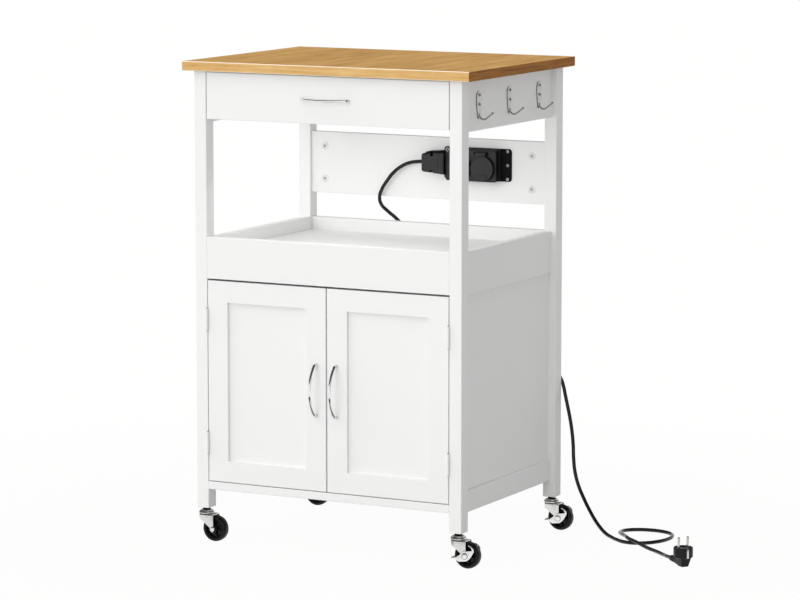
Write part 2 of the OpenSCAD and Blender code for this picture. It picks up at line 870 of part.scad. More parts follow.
// Screws through the strip's ears into the socket board
module strip_screws(grow = 0) {
  for (e = ear_screws)
    translate([strip_x + e[0] * ear_hole_x, board_front_y - ear_t, strip_z + e[1] * ear_hole_z])
      if (grow > 0) rod_y([0, -1, 0], screw_r + grow, screw_len + 1 + screw_hole_spare);
      else pan_screw();
}

module clip_screw_hole() {
  rod_y(
    [clip_screw[0], leg_y_out - clip_screw_len, clip_screw[1]],
    screw_r + screw_clearance, clip_screw_len + 1
  );
}

module fixing_screws() {
  color("silver") {
    hook_screws();
    strip_screws();
    translate([clip_screw[0], leg_y_out + clip_base_t, clip_screw[1]]) rotate([0, 0, 180])
      pan_screw(clip_screw_len);
  }
}

// ---------- socket strip ----------

// Outline of the strip's box from the side: Y across, Z up, a bevel at the front's top
module strip_side_outline() {
  h = strip_h / 2;
  b = 4;
  polygon([
    [strip_face_y, -h + 1.5], [strip_face_y + 1.5, -h], [board_front_y, -h],
    [board_front_y, h], [strip_face_y + b + 1, h], [strip_face_y, h - b]
  ]);
}

// Middle of a socket; side is -1 or 1
function socket_x(side) = strip_x + side * socket_pitch / 2;

module socket_housing() {
  lug_r = lid_pivot_r;
  color("dimgray") difference() {
    union() {
      translate([strip_x - strip_box_len / 2, 0, strip_z]) rotate([90, 0, 90])
        linear_extrude(strip_box_len) strip_side_outline();
      translate([strip_x, 0, strip_z]) upright(board_front_y - ear_t, ear_t)
        round_rect(strip_len, strip_h, 6);
      for (s = [-1, 1], e = [0, 1]) {
        x = socket_x(s) + lid_neck[e] + (e > 0 ? seat_gap : -seat_gap - lid_lug_w);
        rod_x([x, lid_pivot_y, lid_pivot_z], lug_r, lid_lug_w);
        block(
          [x, x + lid_lug_w], [lid_pivot_y, strip_face_y + 1],
          [lid_pivot_z - lug_r, lid_pivot_z + lug_r]
        );
      }
    }
    for (s = [-1, 1]) {
      rod_y([socket_x(s), strip_face_y - 1, socket_z], well_d / 2, well_depth + 1);
      for (p = [-1, 1]) {
        rod_y(
          [socket_x(s) + p * plug_pin_pitch / 2, strip_face_y + well_depth - 1, socket_z],
          plug_pin_r + 0.3, 7
        );
      }
      rod_x(
        [socket_x(s) + lid_neck[0] - lid_lug_w - 2, lid_pivot_y, lid_pivot_z],
        lid_pin_r + pin_clearance,
        lid_neck[1] - lid_neck[0] + 2 * lid_lug_w + 4
      );
      // Room for the lid's knuckle between the lugs
      rod_x(
        [socket_x(s) + lid_neck[0] - seat_gap, lid_pivot_y, lid_pivot_z],
        lug_r + seat_gap / 2, lid_neck[1] - lid_neck[0] + 2 * seat_gap
      );
    }
    for (e = ear_screws)
      rod_y(
        [strip_x + e[0] * ear_hole_x, board_front_y - ear_t - 1, strip_z + e[1] * ear_hole_z],
        screw_r + screw_clearance, ear_t + 2
      );
  }
}

// Sprung earth contacts at the top and bottom of each well
module earth_clips() {
  w = 5;
  t = 0.8;
  r = well_d / 2 - 0.1;
  color("gold") for (s = [-1, 1], e = [-1, 1])
    translate([socket_x(s) - w / 2, strip_face_y + 4, socket_z + e * (r - t / 2 - 0.5) - t / 2])
      cube([w, well_depth - 4, t]);
}

module socket_lid(side) {
  r = lid_d / 2;
  neck_w = lid_neck[1] - lid_neck[0];
  x = socket_x(side);
  back_y = strip_face_y - seat_gap;
  front = back_y - lid_t;
  color("dimgray") {
    difference() {
      union() {
        rod_y([x, front, socket_z], r, lid_t);
        // Neck up to the pivot
        block(
          [x + lid_neck[0], x + lid_neck[1]],
          [lid_pivot_y - lid_pivot_r + 0.2, lid_pivot_y + 1],
          [socket_z + r - 6, lid_pivot_z]
        );
        rod_x([x + lid_neck[0], lid_pivot_y, lid_pivot_z], lid_pivot_r, neck_w);
        // Finger tab
        block([x - 11, x + 11], [front - 1.5, front + 2], [socket_z - r + 4, socket_z - r + 13]);
      }
      rod_y([x, front + lid_wall, socket_z], r - lid_wall, lid_t);
    }
    rod_x([x + lid_neck[0] - lid_lug_w, lid_pivot_y, lid_pivot_z], lid_pin_r, neck_w + 2 * lid_lug_w);
  }
}

// Lead's clamp housing at the strip's left end: a block that narrows towards the lead
module cord_gland() {
  x1 = strip_x - strip_box_len / 2;
  mid = gland_x0 + 16;
  y0 = 2 * gland_y - board_front_y;
  color("dimgray") difference() {
    intersection() {
      upright(y0, board_front_y - y0) polygon([
        [gland_x0, gland_z - gland_low[0]], [gland_x0 + 3, gland_z - gland_low[1]],
        [mid, gland_z - gland_low[2]], [x1, gland_z - gland_low[3]], [x1, gland_z + gland_high[4]],
        [mid - 3, gland_z + gland_high[3]], [mid - 5, gland_z + gland_high[2]],
        [gland_x0 + 4, gland_z + gland_high[1]], [gland_x0, gland_z + gland_high[0]]
      ]);
      translate([gland_x0 - 1, 0, gland_z]) rotate([90, 0, 90]) linear_extrude(x1 - gland_x0 + 1)
        polygon([
          [y0, 1 - gland_low[3]], [y0 + 3, -gland_low[3] - 2],
          [board_front_y - ear_t, -gland_low[3] - 2], [board_front_y - ear_t, gland_high[4] + 1],
          [y0 + gland_high[0], gland_high[4] + 1], [y0, gland_high[0]]
        ]);
    }
    for (z = [gland_z + 15, gland_z - 19])
      block([mid + 2, mid + 5], [y0 - 1, y0 + 8], [z, z + 7]);
    // Room for the upper screw's head
    rod_y(
      [strip_x - ear_hole_x, y0 - 1, strip_z + ear_hole_z],
      screw_head_r + seat_gap, board_front_y - y0 + 1
    );
  }
}

// ---------- mains lead ----------

function unit(v) = v / norm(v);

// Ring of points round p, square to the direction d; u is the way to the first point
function ring(p, d, u, r, n) = let (w = cross(d, u))
  [for (k = [0 : n - 1]) p + r * (cos(360 * k / n) * u + sin(360 * k / n) * w)];

// Direction to the first point of each ring, carried along the path without twist
function carried(dirs, i, u) = i >= len(dirs) ? []
  : let (v = unit(u - (u * dirs[i]) * dirs[i])) concat([v], carried(dirs, i + 1, v));

module tube(path, r, sides) {
  n = len(path);
  dirs = [for (i = [0 : n - 1]) unit(path[min(i + 1, n - 1)] - path[max(i - 1, 0)])];
  firsts = carried(dirs, 0, [0, 0, 1]);
  points = [for (i = [0 : n - 1]) each ring(path[i], dirs[i], firsts[i], r, sides)];
  walls = [
    for (i = [0 : n - 2], k = [0 : sides - 1]) let (a = i * sides, b = a + sides, m = (k + 1) % sides)
      each [[a + k, b + k, b + m], [a + k, b + m, a + m]]
  ];
  ends = [
    for (k = [1 : sides - 2]) each [
      [0, k, k + 1], [(n - 1) * sides, (n - 1) * sides + k + 1, (n - 1) * sides + k]
    ]
  ];
  polyhedron(points = points, faces = concat(walls, ends), convexity = 10);
}

module mains_cord() {
  path = [
    [gland_x0, gland_y, gland_z],
    each cord_route,
    [plug_boot_end[0], plug_boot_end[1], plug_boot_z]
  ];
  color("dimgray") tube(path, cord_d / 2, 10);
}

module cord_clip() {
  lead_y = clip_y - leg_y_out;
  color("white") difference() {
    translate([clip_pos[0], leg_y_out, clip_pos[1]]) rotate([0, -clip_turn, 0]) difference() {
      union() {
        block([-clip_len / 2, clip_len / 2], [0, clip_base_t], [-clip_out_r, clip_foot]);
        block([-clip_len / 2, clip_len / 2], [0, lead_y], [-clip_out_r, clip_out_r]);
        rod_x([-clip_len / 2, lead_y, 0], clip_out_r, clip_len);
      }
      rod_x([-clip_len, lead_y, 0], clip_r, 2 * clip_len);
      // The clip's flat foot against the leg
      block([-clip_len, clip_len], [-clip_out_r, 0], [-2 * clip_out_r, 2 * clip_out_r]);
    }
    rod_y([clip_screw[0], leg_y_out - 1, clip_screw[1]], screw_r + screw_clearance, clip_base_t + 2);
  }
}

// Thin slice of the plug's back under its round head
module plug_back(half, z) {
  block([-half[1], half[1]], [-half[0], half[0]], [z, z + 1]);
}

// Plug, drawn about its own axis with the lead leaving along +X
module plug_body() {
  r = plug_d / 2;
  color("dimgray") translate([plug_pos[0], plug_pos[1], 0]) rotate([0, 0, plug_dir]) difference() {
    union() {
      rotate_extrude() polygon([
        [0, plug_head_z], [r, plug_head_z], [r, plug_h - 1.5], [r - 1.5, plug_h], [0, plug_h]
      ]);
      hull() {
        rod_z([0, 0, plug_head_z - eps], r - 0.1, 1);
        plug_back(plug_back_high, plug_back_z);
      }
      hull() {
        plug_back(plug_back_high, plug_back_z);
        plug_back(plug_back_low, 0);
      }
      translate([plug_boot_x, 0, plug_boot_z]) rotate([0, 90, 0])
        cylinder(r1 = plug_boot_r[0], r2 = plug_boot_r[1], h = plug_boot_len - plug_boot_x);
    }
    for (s = [-1, 1])
      rod_z([0, s * plug_pin_pitch / 2, plug_h - 14], plug_pin_r + pin_clearance, 15);
    for (s = [-1, 1])
      rotate([0, 0, s > 0 ? 0 : 180]) block(
        [r - earth_channel, r + 1], [-earth_strip_w / 2 - 0.4, earth_strip_w / 2 + 0.4],
        [plug_head_z, plug_h + 1]
      );
  }
}

module plug_pins() {
  strip_x_in = plug_d / 2 - earth_channel;
  color("silver") translate([plug_pos[0], plug_pos[1], 0]) rotate([0, 0, plug_dir]) {
    for (s = [-1, 1]) {
      rod_z([0, s * plug_pin_pitch / 2, plug_h - 13], plug_pin_r, 13 + plug_pin_len - 1);
      translate([0, s * plug_pin_pitch / 2, plug_h + plug_pin_len - 1])
        cylinder(r1 = plug_pin_r, r2 = plug_pin_r - 1, h = 1);
    }
    for (s = [-1, 1])
      rotate([0, 0, s > 0 ? 0 : 180]) block(
        [strip_x_in, strip_x_in + earth_strip_t], [-earth_strip_w / 2, earth_strip_w / 2],
        [plug_head_z, plug_h]
      );
  }
}

// ---------- casters ----------

// Stem, collar and two-step bearing cap of one caster, on its swivel axis
module caster_stem() {
  pin_z = fork_under_z - seat_gap - kingpin_head_t;
  rod_z([0, 0, pin_z], stem_d / 2, caster_h + stem_len - pin_z);
  rod_z([0, 0, pin_z], kingpin_head_r, kingpin_head_t);
  rod_z([0, 0, cap_top_z - eps], collar_r, caster_h - cap_top_z + eps);
  rotate_extrude() polygon([
    [0, cap_z], [cap_d / 2 - 1, cap_z], [cap_d / 2, cap_z + 1],
    [cap_d / 2, cap_z + cap_lower_t - 1], [cap_d / 2 - 1, cap_z + cap_lower_t],
    [cap_d / 2 - cap_step, cap_z + cap_lower_t], [cap_d / 2 - cap_step, cap_top_z - 1],
    [cap_d / 2 - cap_step - 1, cap_top_z], [0, cap_top_z]
  ]);
}

module caster_stems() {
  color("silver") for (c = caster_sides) translate([c[0] * leg_x, c[1] * leg_y, 0]) caster_stem();
}

// Side plate of a fork in the X-Z plane, swivel axis at x = 0
module fork_cheek_outline() {
  polygon([
    [fork_back_x + fork_corner, fork_top_z], [fork_front_x, fork_top_z],
    [caster_trail + fork_eye_r - fork_corner, wheel_r + fork_eye_r],
    [caster_trail + fork_eye_r, wheel_r], [caster_trail - fork_eye_r, wheel_r],
    [caster_trail - fork_eye_r, wheel_r + 2.5], [fork_back_x, fork_top_z - fork_back_h],
    [fork_back_x, fork_top_z - fork_corner]
  ]);
  translate([caster_trail, wheel_r]) circle(r = fork_eye_r);
}

module fork(sx, sy, braked) {
  rivet_y = (braked ? brake_out_y : fork_out_y) + rivet_gap;
  plate_r = cap_d / 2;
  color("silver") translate([sx * leg_x, sy * leg_y, 0]) {
    difference() {
      union() {
        translate([0, 0, fork_under_z]) linear_extrude(fork_sheet) intersection() {
          union() {
            circle(r = plate_r);
            translate([0, -fork_out_y]) square([fork_front_x, 2 * fork_out_y]);
          }
          translate([-plate_r, -fork_out_y]) square([plate_r + fork_front_x, 2 * fork_out_y]);
        }
        for (y = [-fork_out_y, fork_in_y]) upright(y, fork_out_y - fork_in_y) fork_cheek_outline();
      }
      rod_z([0, 0, fork_under_z - 1], stem_d / 2 + pin_clearance, fork_sheet + 2);
      rod_y([caster_trail, -fork_out_y - 1, wheel_r], axle_d / 2 + pin_clearance, 2 * fork_out_y + 2);
    }
    // Axle rivet
    rod_y([caster_trail, -rivet_y, wheel_r], axle_d / 2, 2 * rivet_y);
    for (y = [-rivet_y - rivet_head_t, rivet_y])
      rod_y([caster_trail, y, wheel_r], rivet_head_r, rivet_head_t);
  }
}

// Wheel profile: radius across, width up, for one turn about the axle
module wheel_profile() {
  half = wheel_w / 2;
  shoulder = 4;
  rim_in = wheel_r - 7;
  hub_r = axle_d / 2 + 4;
  bore_r = axle_d / 2 + pin_clearance + 0.03;
  translate([rim_in, -half]) square([7 - shoulder, wheel_w]);
  translate([rim_in, -half + shoulder]) square([7, wheel_w - 2 * shoulder]);
  for (s = [-1, 1]) translate([wheel_r - shoulder, s * (half - shoulder)]) circle(r = shoulder, $fn = 32);
  translate([bore_r, -hub_half]) square([hub_r - bore_r, 2 * hub_half]);
  translate([hub_r - eps, -2]) square([rim_in - hub_r + 2 * eps, 4]);
}

module wheel(sx, sy) {
  rib_r0 = axle_d / 2 + 3;
  rib_len = wheel_r - 7 - rib_r0 + 0.5;
  color("dimgray") translate([sx * leg_x + caster_trail, sy * leg_y, wheel_r]) rotate([90, 0, 0]) {
    rotate_extrude($fn = 96) wheel_profile();
    for (a = [0 : 60 : 300]) rotate([0, 0, a])
      translate([rib_r0, -0.9, -wheel_w / 2 + 2]) cube([rib_len, 1.8, wheel_w - 4]);
  }
}

// Brake lever cheek in the X-Z plane about the axle
module brake_outline() {
  tail_x = brake_pedal[0] + 0.5;
  difference() {
    union() {
      circle(r = brake_ring_r);
      // Arm towards the wheel's front, with a thin horn back over the rim
      polygon([
        [0, 9], [6.7, 10], [15.5, 11], [18.5, 11.5], [18.6, 9.5], [13, -0.6], [8.5, -5.5], [0, 0]
      ]);
      polygon([[15.5, 10.5], [18.5, 10.5], [17.5, 14.5], [13.5, 18.2], [7.6, 21], [7, 19.6], [12.6, 17]]);
      // Tail towards the pedal
      polygon([
        [-6, 5], [-16.5, -2.5], [-20, -4.3], [tail_x, -4.5],
        [tail_x, brake_pedal[1]], [-20.5, -6.4], [-12.3, -11.2], [1, -9.5]
      ]);
    }
    circle(r = axle_d / 2 + pin_clearance);
  }
}

module brake(sx, sy) {
  pedal_z = [brake_pedal[1], brake_pedal[1] + brake_sheet];
  color("silver") translate([sx * leg_x + caster_trail, sy * leg_y, wheel_r]) {
    for (y = [-brake_out_y, brake_in_y]) upright(y, brake_sheet) brake_outline();
    block([brake_pedal[0], brake_pedal[0] + brake_pedal_w], [-brake_out_y, brake_out_y], pedal_z);
    block(
      [brake_pedal[0] - brake_pedal_lip, brake_pedal[0] + 1],
      [-brake_pedal_half, brake_pedal_half], pedal_z
    );
  }
}

// ---------- nodes ----------

tabletop();
leg(-1, -1);  // leg_front_left
leg(1, -1);  // leg_front_right
leg(-1, 1);  // leg_rear_left
leg(1, 1);  // leg_rear_right
apron_side(-1);  // apron_left
apron_side(1);  // apron_right
apron_rear();
socket_board();
tray_front();
tray_rear();
tray_side(-1);  // tray_left
tray_side(1);  // tray_right
tray_floor();
side_panel(-1);  // side_panel_left
side_panel(1);  // side_panel_right
side_rails();
bottom_panel();
back_panel();
shelf();
shelf_pins();
cam_locks();
side_hooks();
fixing_screws();
door_catch();
hinge_leaves();
drawer_runners();
socket_housing();
earth_clips();
cord_gland();
cord_clip();
mains_cord();
plug_body();
plug_pins();
caster_stems();
drawer_front();
drawer_side(-1);  // drawer_side_left
drawer_side(1);  // drawer_side_right
drawer_back();
drawer_bottom();
drawer_slides();
drawer_handle();
door(-1);  // door_left
door(1);  // door_right
door_handle(-1);  // door_handle_left
door_handle(1);  // door_handle_right
door_fittings(-1);  // door_fittings_left
door_fittings(1);  // door_fittings_right
socket_lid(-1);  // socket_lid_left
socket_lid(1);  // socket_lid_right
fork(-1, -1, false);  // fork_front_left
fork(1, -1, true);  // fork_front_right
fork(-1, 1, false);  // fork_rear_left
fork(1, 1, true);  // fork_rear_right
wheel(-1, -1);  // wheel_front_left
wheel(1, -1);  // wheel_front_right
wheel(-1, 1);  // wheel_rear_left
wheel(1, 1);  // wheel_rear_right
brake(1, -1);  // brake_front_right
brake(1, 1);  // brake_rear_right
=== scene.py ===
import bpy
import bmesh
import math
from mathutils import Matrix, Vector


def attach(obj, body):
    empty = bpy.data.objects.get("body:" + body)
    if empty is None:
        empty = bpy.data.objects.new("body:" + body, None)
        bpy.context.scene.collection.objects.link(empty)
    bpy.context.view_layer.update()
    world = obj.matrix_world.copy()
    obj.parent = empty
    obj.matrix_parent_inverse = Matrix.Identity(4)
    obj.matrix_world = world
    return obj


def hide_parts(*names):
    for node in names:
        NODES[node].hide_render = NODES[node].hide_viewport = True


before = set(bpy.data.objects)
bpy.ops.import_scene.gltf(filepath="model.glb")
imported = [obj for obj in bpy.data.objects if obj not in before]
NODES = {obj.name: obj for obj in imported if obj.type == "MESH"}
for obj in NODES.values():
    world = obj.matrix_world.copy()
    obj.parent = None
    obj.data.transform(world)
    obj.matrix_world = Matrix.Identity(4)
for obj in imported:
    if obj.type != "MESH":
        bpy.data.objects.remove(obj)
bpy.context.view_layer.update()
MM = 0.001

# ---------------- places, in millimetres
LEG_X, LEG_Y = 267.5, 200.0
FRONT_Y, BOARD_Y, APRON_X = -214.0, 193.0, 270.0
# Handles
DRAWER_PULL_Z, DOOR_PULL_X, DOOR_PULL_Z = 849.5, 21.2, 309.0
# Hinge pins: axis, middles of the hinges, and half their length
HINGE_X, HINGE_Y, HINGE_Z, HINGE_HALF = 254.25, -216.7, (192.0, 427.0), 21.0
# Cam locks of the socket board
CAM_X, CAM_Z = (-225.0, 225.0), (657.0, 721.0)
# Casters
TRAIL, WHEEL_R, HUB_HALF, AXLE_R = 20.0, 25.0, 10.7, 3.0
FORK_IN, FORK_OUT = 11.0, 13.0
BRAKE_IN, BRAKE_OUT = 13.3, 14.8
FORK_UNDER, FORK_TOP = 50.8, 52.6
CAP_R, CAP_STEP, CAP_Z, CAP_MID, CAP_TOP, LEG_END = 15.0, 2.5, 52.9, 57.1, 60.1, 65.0
CORNERS = {"front_left": (-1, -1), "front_right": (1, -1), "rear_left": (-1, 1), "rear_right": (1, 1)}
BRAKED = ("front_right", "rear_right")
# Socket strip: middle, front face, ear screws from the middle, and the two sockets
STRIP_X, STRIP_Z, STRIP_Y = 111.0, 701.0, 165.0
BOX_HALF, STRIP_HALF_H = 51.5, 31.5
EAR_X, EAR_Z, EAR_SHEET = 64, 26.5, 3
SOCKETS = {"left": 86.0, "right": 136.0}
SOCKET_Z, PIVOT_Y, PIVOT_Z = 695.5, 161.8, 724.5
# Hooks on the right apron
HOOK_Y, HOOK_Z, HOOK_H, HOOK_R = (-127.0, 0.0, 127.0), 820.0, 50.0, 10.0
HOOK_SHEET, HOOK_REACH, HOOK_RISE = 1.5, 31.0, 38.0
HOOK_SCREWS = (863.0, 845.5)
# Screw that holds the cord clip
CLIP_SCREW = (268.72, 215.5, 312.82)
# Plug, on its back with its lead leaving along its own +X
PLUG_AT, PLUG_TURN = (629.0, 0.0), 144.0
PLUG_R, PLUG_TOP, PLUG_HEAD = 18.0, 36.0, 17.0
BOOT_Z, BOOT_LEN = 8.0, 42.0
PIN_PITCH, PIN_R, PIN_TOP = 19.0, 2.4, 55.0


# ---------------- camera
# Place in metres, turn and tilt in degrees, and focal length for an image 800 pixels wide
CAMERA_AT, CAMERA_AZ, CAMERA_PITCH = (3.21502, -6.06386, 1.40319), 27.621, 7.88
FOCAL_PX, IMAGE_W = 3647.48, 800.0


def make_camera():
    az, pitch = math.radians(CAMERA_AZ), math.radians(CAMERA_PITCH)
    data = bpy.data.cameras.new("camera")
    data.sensor_width = 36.0
    data.lens = data.sensor_width * FOCAL_PX / IMAGE_W
    data.clip_start, data.clip_end = 0.5, 60.0
    cam = bpy.data.objects.new("camera", data)
    cam.location = CAMERA_AT
    look = Vector((-math.sin(az) * math.cos(pitch), math.cos(az) * math.cos(pitch), -math.sin(pitch)))
    cam.rotation_euler = look.to_track_quat("-Z", "Y").to_euler()
    bpy.context.scene.collection.objects.link(cam)
    bpy.context.scene.camera = cam


make_camera()


# ---------------- material helpers
class Tree:
    """A node tree with short ways to add and join nodes."""

    def __init__(self, name):
        self.mat = bpy.data.materials.new(name)
        self.mat.use_nodes = True
        self.nt = self.mat.node_tree
        self.nt.nodes.clear()
        self.out = self.add("ShaderNodeOutputMaterial")
        self.bsdf = self.add("ShaderNodeBsdfPrincipled")
        self.join(self.bsdf.outputs[0], self.out.inputs["Surface"])
        self.co = self.add("ShaderNodeTexCoord").outputs["Object"]

    def add(self, kind, **settings):
        node = self.nt.nodes.new(kind)
        for key, value in settings.items():
            setattr(node, key, value)
        return node

    def join(self, a, b):
        self.nt.links.new(a, b)

    def put(self, socket, value):
        if isinstance(value, bpy.types.NodeSocket):
            self.join(value, socket)
        else:
            socket.default_value = value

    def math(self, op, a, b=0.0):
        node = self.add("ShaderNodeMath", operation=op)
        self.put(node.inputs[0], a)
        self.put(node.inputs[1], b)
        return node.outputs[0]

    def parts(self, vector):
        """The three parts of a vector."""
        node = self.add("ShaderNodeSeparateXYZ")
        self.join(vector, node.inputs[0])
        return node.outputs

    def normal(self):
        """The three parts of the surface normal, in the object's own axes."""
        return self.parts(self.add("ShaderNodeTexCoord").outputs["Normal"])

    def dot(self, vector, way):
        node = self.add("ShaderNodeVectorMath", operation="DOT_PRODUCT")
        self.join(vector, node.inputs[0])
        node.inputs[1].default_value = way
        return node.outputs["Value"]

    def scaled(self, scale):
        node = self.add("ShaderNodeMapping")
        self.put(node.inputs["Vector"], self.co)
        node.inputs["Scale"].default_value = scale
        return node.outputs[0]

    def noise(self, scale, detail=3.0, rough=0.5, vector=None, distortion=0.0):
        node = self.add("ShaderNodeTexNoise")
        self.put(node.inputs["Vector"], vector or self.co)
        node.inputs["Scale"].default_value = scale
        node.inputs["Detail"].default_value = detail
        node.inputs["Roughness"].default_value = rough
        node.inputs["Distortion"].default_value = distortion
        return node.outputs["Fac"]

    def ramp(self, value, stops):
        node = self.add("ShaderNodeValToRGB")
        self.put(node.inputs[0], value)
        ramp = node.color_ramp
        while len(ramp.elements) < len(stops):
            ramp.elements.new(0.5)
        for element, (at, colour) in zip(ramp.elements, stops):
            element.position = at
            element.color = (*colour, 1.0)
        return node.outputs[0]

    def mix(self, fac, a, b, blend="MIX"):
        node = self.add("ShaderNodeMix", data_type="RGBA", blend_type=blend)
        self.put(node.inputs[0], fac)
        for socket, value in ((6, a), (7, b)):
            self.put(node.inputs[socket], (*value, 1.0) if isinstance(value, tuple) else value)
        return node.outputs[2]

    def between(self, value, low, high):
        node = self.add("ShaderNodeMapRange")
        self.put(node.inputs["Value"], value)
        node.inputs["To Min"].default_value = low
        node.inputs["To Max"].default_value = high
        return node.outputs[0]

    def bump(self, height, distance, strength):
        node = self.add("ShaderNodeBump")
        node.inputs["Strength"].default_value = strength
        node.inputs["Distance"].default_value = distance
        self.put(node.inputs["Height"], height)
        self.join(node.outputs[0], self.bsdf.inputs["Normal"])

    def set(self, **values):
        for key, value in values.items():
            self.put(self.bsdf.inputs[key.replace("_", " ")], value)


def paint(name, colour, rough=0.40):
    """Satin paint: a faint orange peel, and a slow drift of tone and gloss."""
    t = Tree(name)
    drift = t.noise(4.0, 2.0)
    t.set(Base_Color=t.mix(drift, colour, tuple(c * 0.985 for c in colour)))
    t.set(Roughness=t.between(t.noise(30.0, 3.0), rough - 0.05, rough + 0.06))
    t.set(Specular_IOR_Level=0.4)
    t.bump(t.noise(420.0, 2.0, 0.4), 0.00003, 0.4)
    return t.mat


def foil(name, colour):
    """White foil on board: a fine even grain."""
    t = Tree(name)
    t.set(Base_Color=t.mix(t.noise(6.0, 2.0), colour, tuple(c * 0.97 for c in colour)))
    grain = t.noise(300.0, 4.0, 0.6, t.scaled((0.15, 1, 1)))
    t.set(Roughness=t.between(grain, 0.44, 0.56))
    t.bump(grain, 0.00003, 0.5)
    return t.mat


def wood(name):
    """Lacquered wood: soft streaks from front to back on the face, and an edge band with its own grain."""
    t = Tree(name)
    normal = t.normal()
    side, front, up = (t.math("ABSOLUTE", part) for part in normal)
    is_end = t.math("GREATER_THAN", side, 0.5)
    is_band = t.math("GREATER_THAN", front, 0.5)

    # Face: wide soft streaks that wander, fine fibres, and a few short dark flecks
    wander = t.noise(1.0, 2.0, 0.5, t.scaled((9.0, 2.2, 9.0)), 0.4)
    streak = t.noise(1.0, 4.0, 0.62, t.scaled((46.0, 4.0, 46.0)), 0.8)
    fibre = t.noise(1.0, 5.0, 0.7, t.scaled((420.0, 12.0, 420.0)))
    flecks = t.noise(1.0, 2.0, 0.5, t.scaled((900.0, 42.0, 900.0)))
    value = t.math("ADD", t.math("MULTIPLY", wander, 0.22), t.math("MULTIPLY", streak, 0.48))
    value = t.math("ADD", value, t.math("MULTIPLY", fibre, 0.30))
    face = t.ramp(value, [
        (0.38, (0.475, 0.235, 0.048)), (0.5, (0.635, 0.350, 0.092)), (0.62, (0.765, 0.468, 0.150)),
    ])
    flecks_tone = t.ramp(flecks, [(0.30, (0.50, 0.38, 0.24)), (0.42, (1.0, 1.0, 1.0))])
    face = t.mix(0.5, face, flecks_tone, "MULTIPLY")

    # Band along the front and back: lighter, its fibres along X
    lines = t.noise(1.0, 5.0, 0.68, t.scaled((7.0, 210.0, 210.0)), 0.6)
    cloud = t.noise(1.0, 3.0, 0.6, t.scaled((16.0, 60.0, 60.0)))
    band_value = t.math("ADD", t.math("MULTIPLY", lines, 0.62), t.math("MULTIPLY", cloud, 0.38))
    band = t.ramp(band_value, [
        (0.34, (0.46, 0.235, 0.070)), (0.43, (0.66, 0.395, 0.145)), (0.54, (0.745, 0.475, 0.190)),
        (0.66, (0.82, 0.565, 0.260)),
    ])

    # Ends: dark, with close streaks from front to back
    rings = t.noise(1.0, 5.0, 0.68, t.scaled((160.0, 9.0, 160.0)), 0.5)
    ends = t.ramp(rings, [
        (0.34, (0.245, 0.092, 0.018)), (0.5, (0.36, 0.148, 0.032)), (0.68, (0.47, 0.212, 0.054)),
    ])

    # Underside: a plain greyish backing
    below = t.math("LESS_THAN", normal[2], -0.5)
    face = t.mix(below, face, t.mix(fibre, (0.52, 0.46, 0.39), (0.60, 0.54, 0.46)))
    body = t.mix(is_band, face, band)
    body = t.mix(is_end, body, ends)
    # Painted highlight: the chamfer between face and band takes a pale colour, as if it caught the light
    arris_highlight = t.math("MULTIPLY", t.math("GREATER_THAN", up, 0.3), t.math("GREATER_THAN", front, 0.3))
    body = t.mix(arris_highlight, body, (0.97, 0.88, 0.72))
    t.set(Base_Color=body)
    t.set(Roughness=t.between(fibre, 0.50, 0.62), Specular_IOR_Level=0.10)
    t.bump(t.math("ADD", fibre, flecks), 0.00006, 0.3)
    return t.mat


def metal(name, colour, rough, drift, edge=None):
    """Plated metal: tone and gloss drift a little over a faint grain; edge, if given, is painted shade on a
    plate's rim.
    """
    t = Tree(name)
    t.set(Metallic=1.0)
    cloud = t.noise(60.0, 3.0)
    tone = t.mix(cloud, colour, tuple(c * 0.93 for c in colour))
    # Painted shade: the faces off the plate's flat sides, its rim, take the darker colour
    if edge:
        tone = t.mix(t.math("LESS_THAN", t.math("ABSOLUTE", t.normal()[0]), 0.93), tone, edge)
    t.set(Base_Color=tone)
    t.set(Roughness=t.between(cloud, rough, rough + drift))
    t.bump(t.noise(1.0, 3.0, 0.6, t.scaled((700.0, 700.0, 700.0))), 0.00001, 0.12)
    return t.mat


def moulded(name, colour, rough, gloss, grain=900.0, depth=0.00004, side_shade=None):
    """Moulded plastic: fine spark-eroded grain and a slow drift of gloss; flank, if given, is painted shade
    on the faces that don't face the front.
    """
    t = Tree(name)
    tone = t.mix(t.noise(25.0, 2.0), colour, tuple(c * 0.85 for c in colour))
    # Painted shade: faces that don't face the front take the darker colour
    if side_shade:
        tone = t.mix(t.math("LESS_THAN", t.normal()[1], -0.8), side_shade, tone)
    t.set(Base_Color=tone)
    t.set(Roughness=t.between(t.noise(45.0, 3.0), rough - 0.05, rough + 0.07))
    t.set(Specular_IOR_Level=gloss)
    t.bump(t.noise(grain, 2.0, 0.5), depth, 0.4)
    return t.mat


WHITE = paint("paint_white", (0.90, 0.90, 0.893))
WHITE_FLAT = foil("foil_white", (0.88, 0.88, 0.872))
WOOD = wood("wood_lacquered")
CHROME = metal("chrome", (0.86, 0.865, 0.87), 0.06, 0.03)
ZINC = metal("zinc_plate", (0.78, 0.78, 0.77), 0.24, 0.08)
BRIGHT_ZINC = metal("zinc_bright", (0.93, 0.93, 0.925), 0.30, 0.06)
SATIN = metal("zinc_satin", (0.50, 0.50, 0.495), 0.36, 0.08)
# Hook plates: zinc, with painted shade on their rims
PLATE_RIM_SHADED = metal("hook_plate", (0.52, 0.52, 0.515), 0.36, 0.08, (0.10, 0.10, 0.10))
PIN_METAL = metal("pin_nickel", (0.66, 0.655, 0.64), 0.18, 0.06)
NICKEL = metal("nickel_plate", (0.36, 0.36, 0.355), 0.16, 0.06)
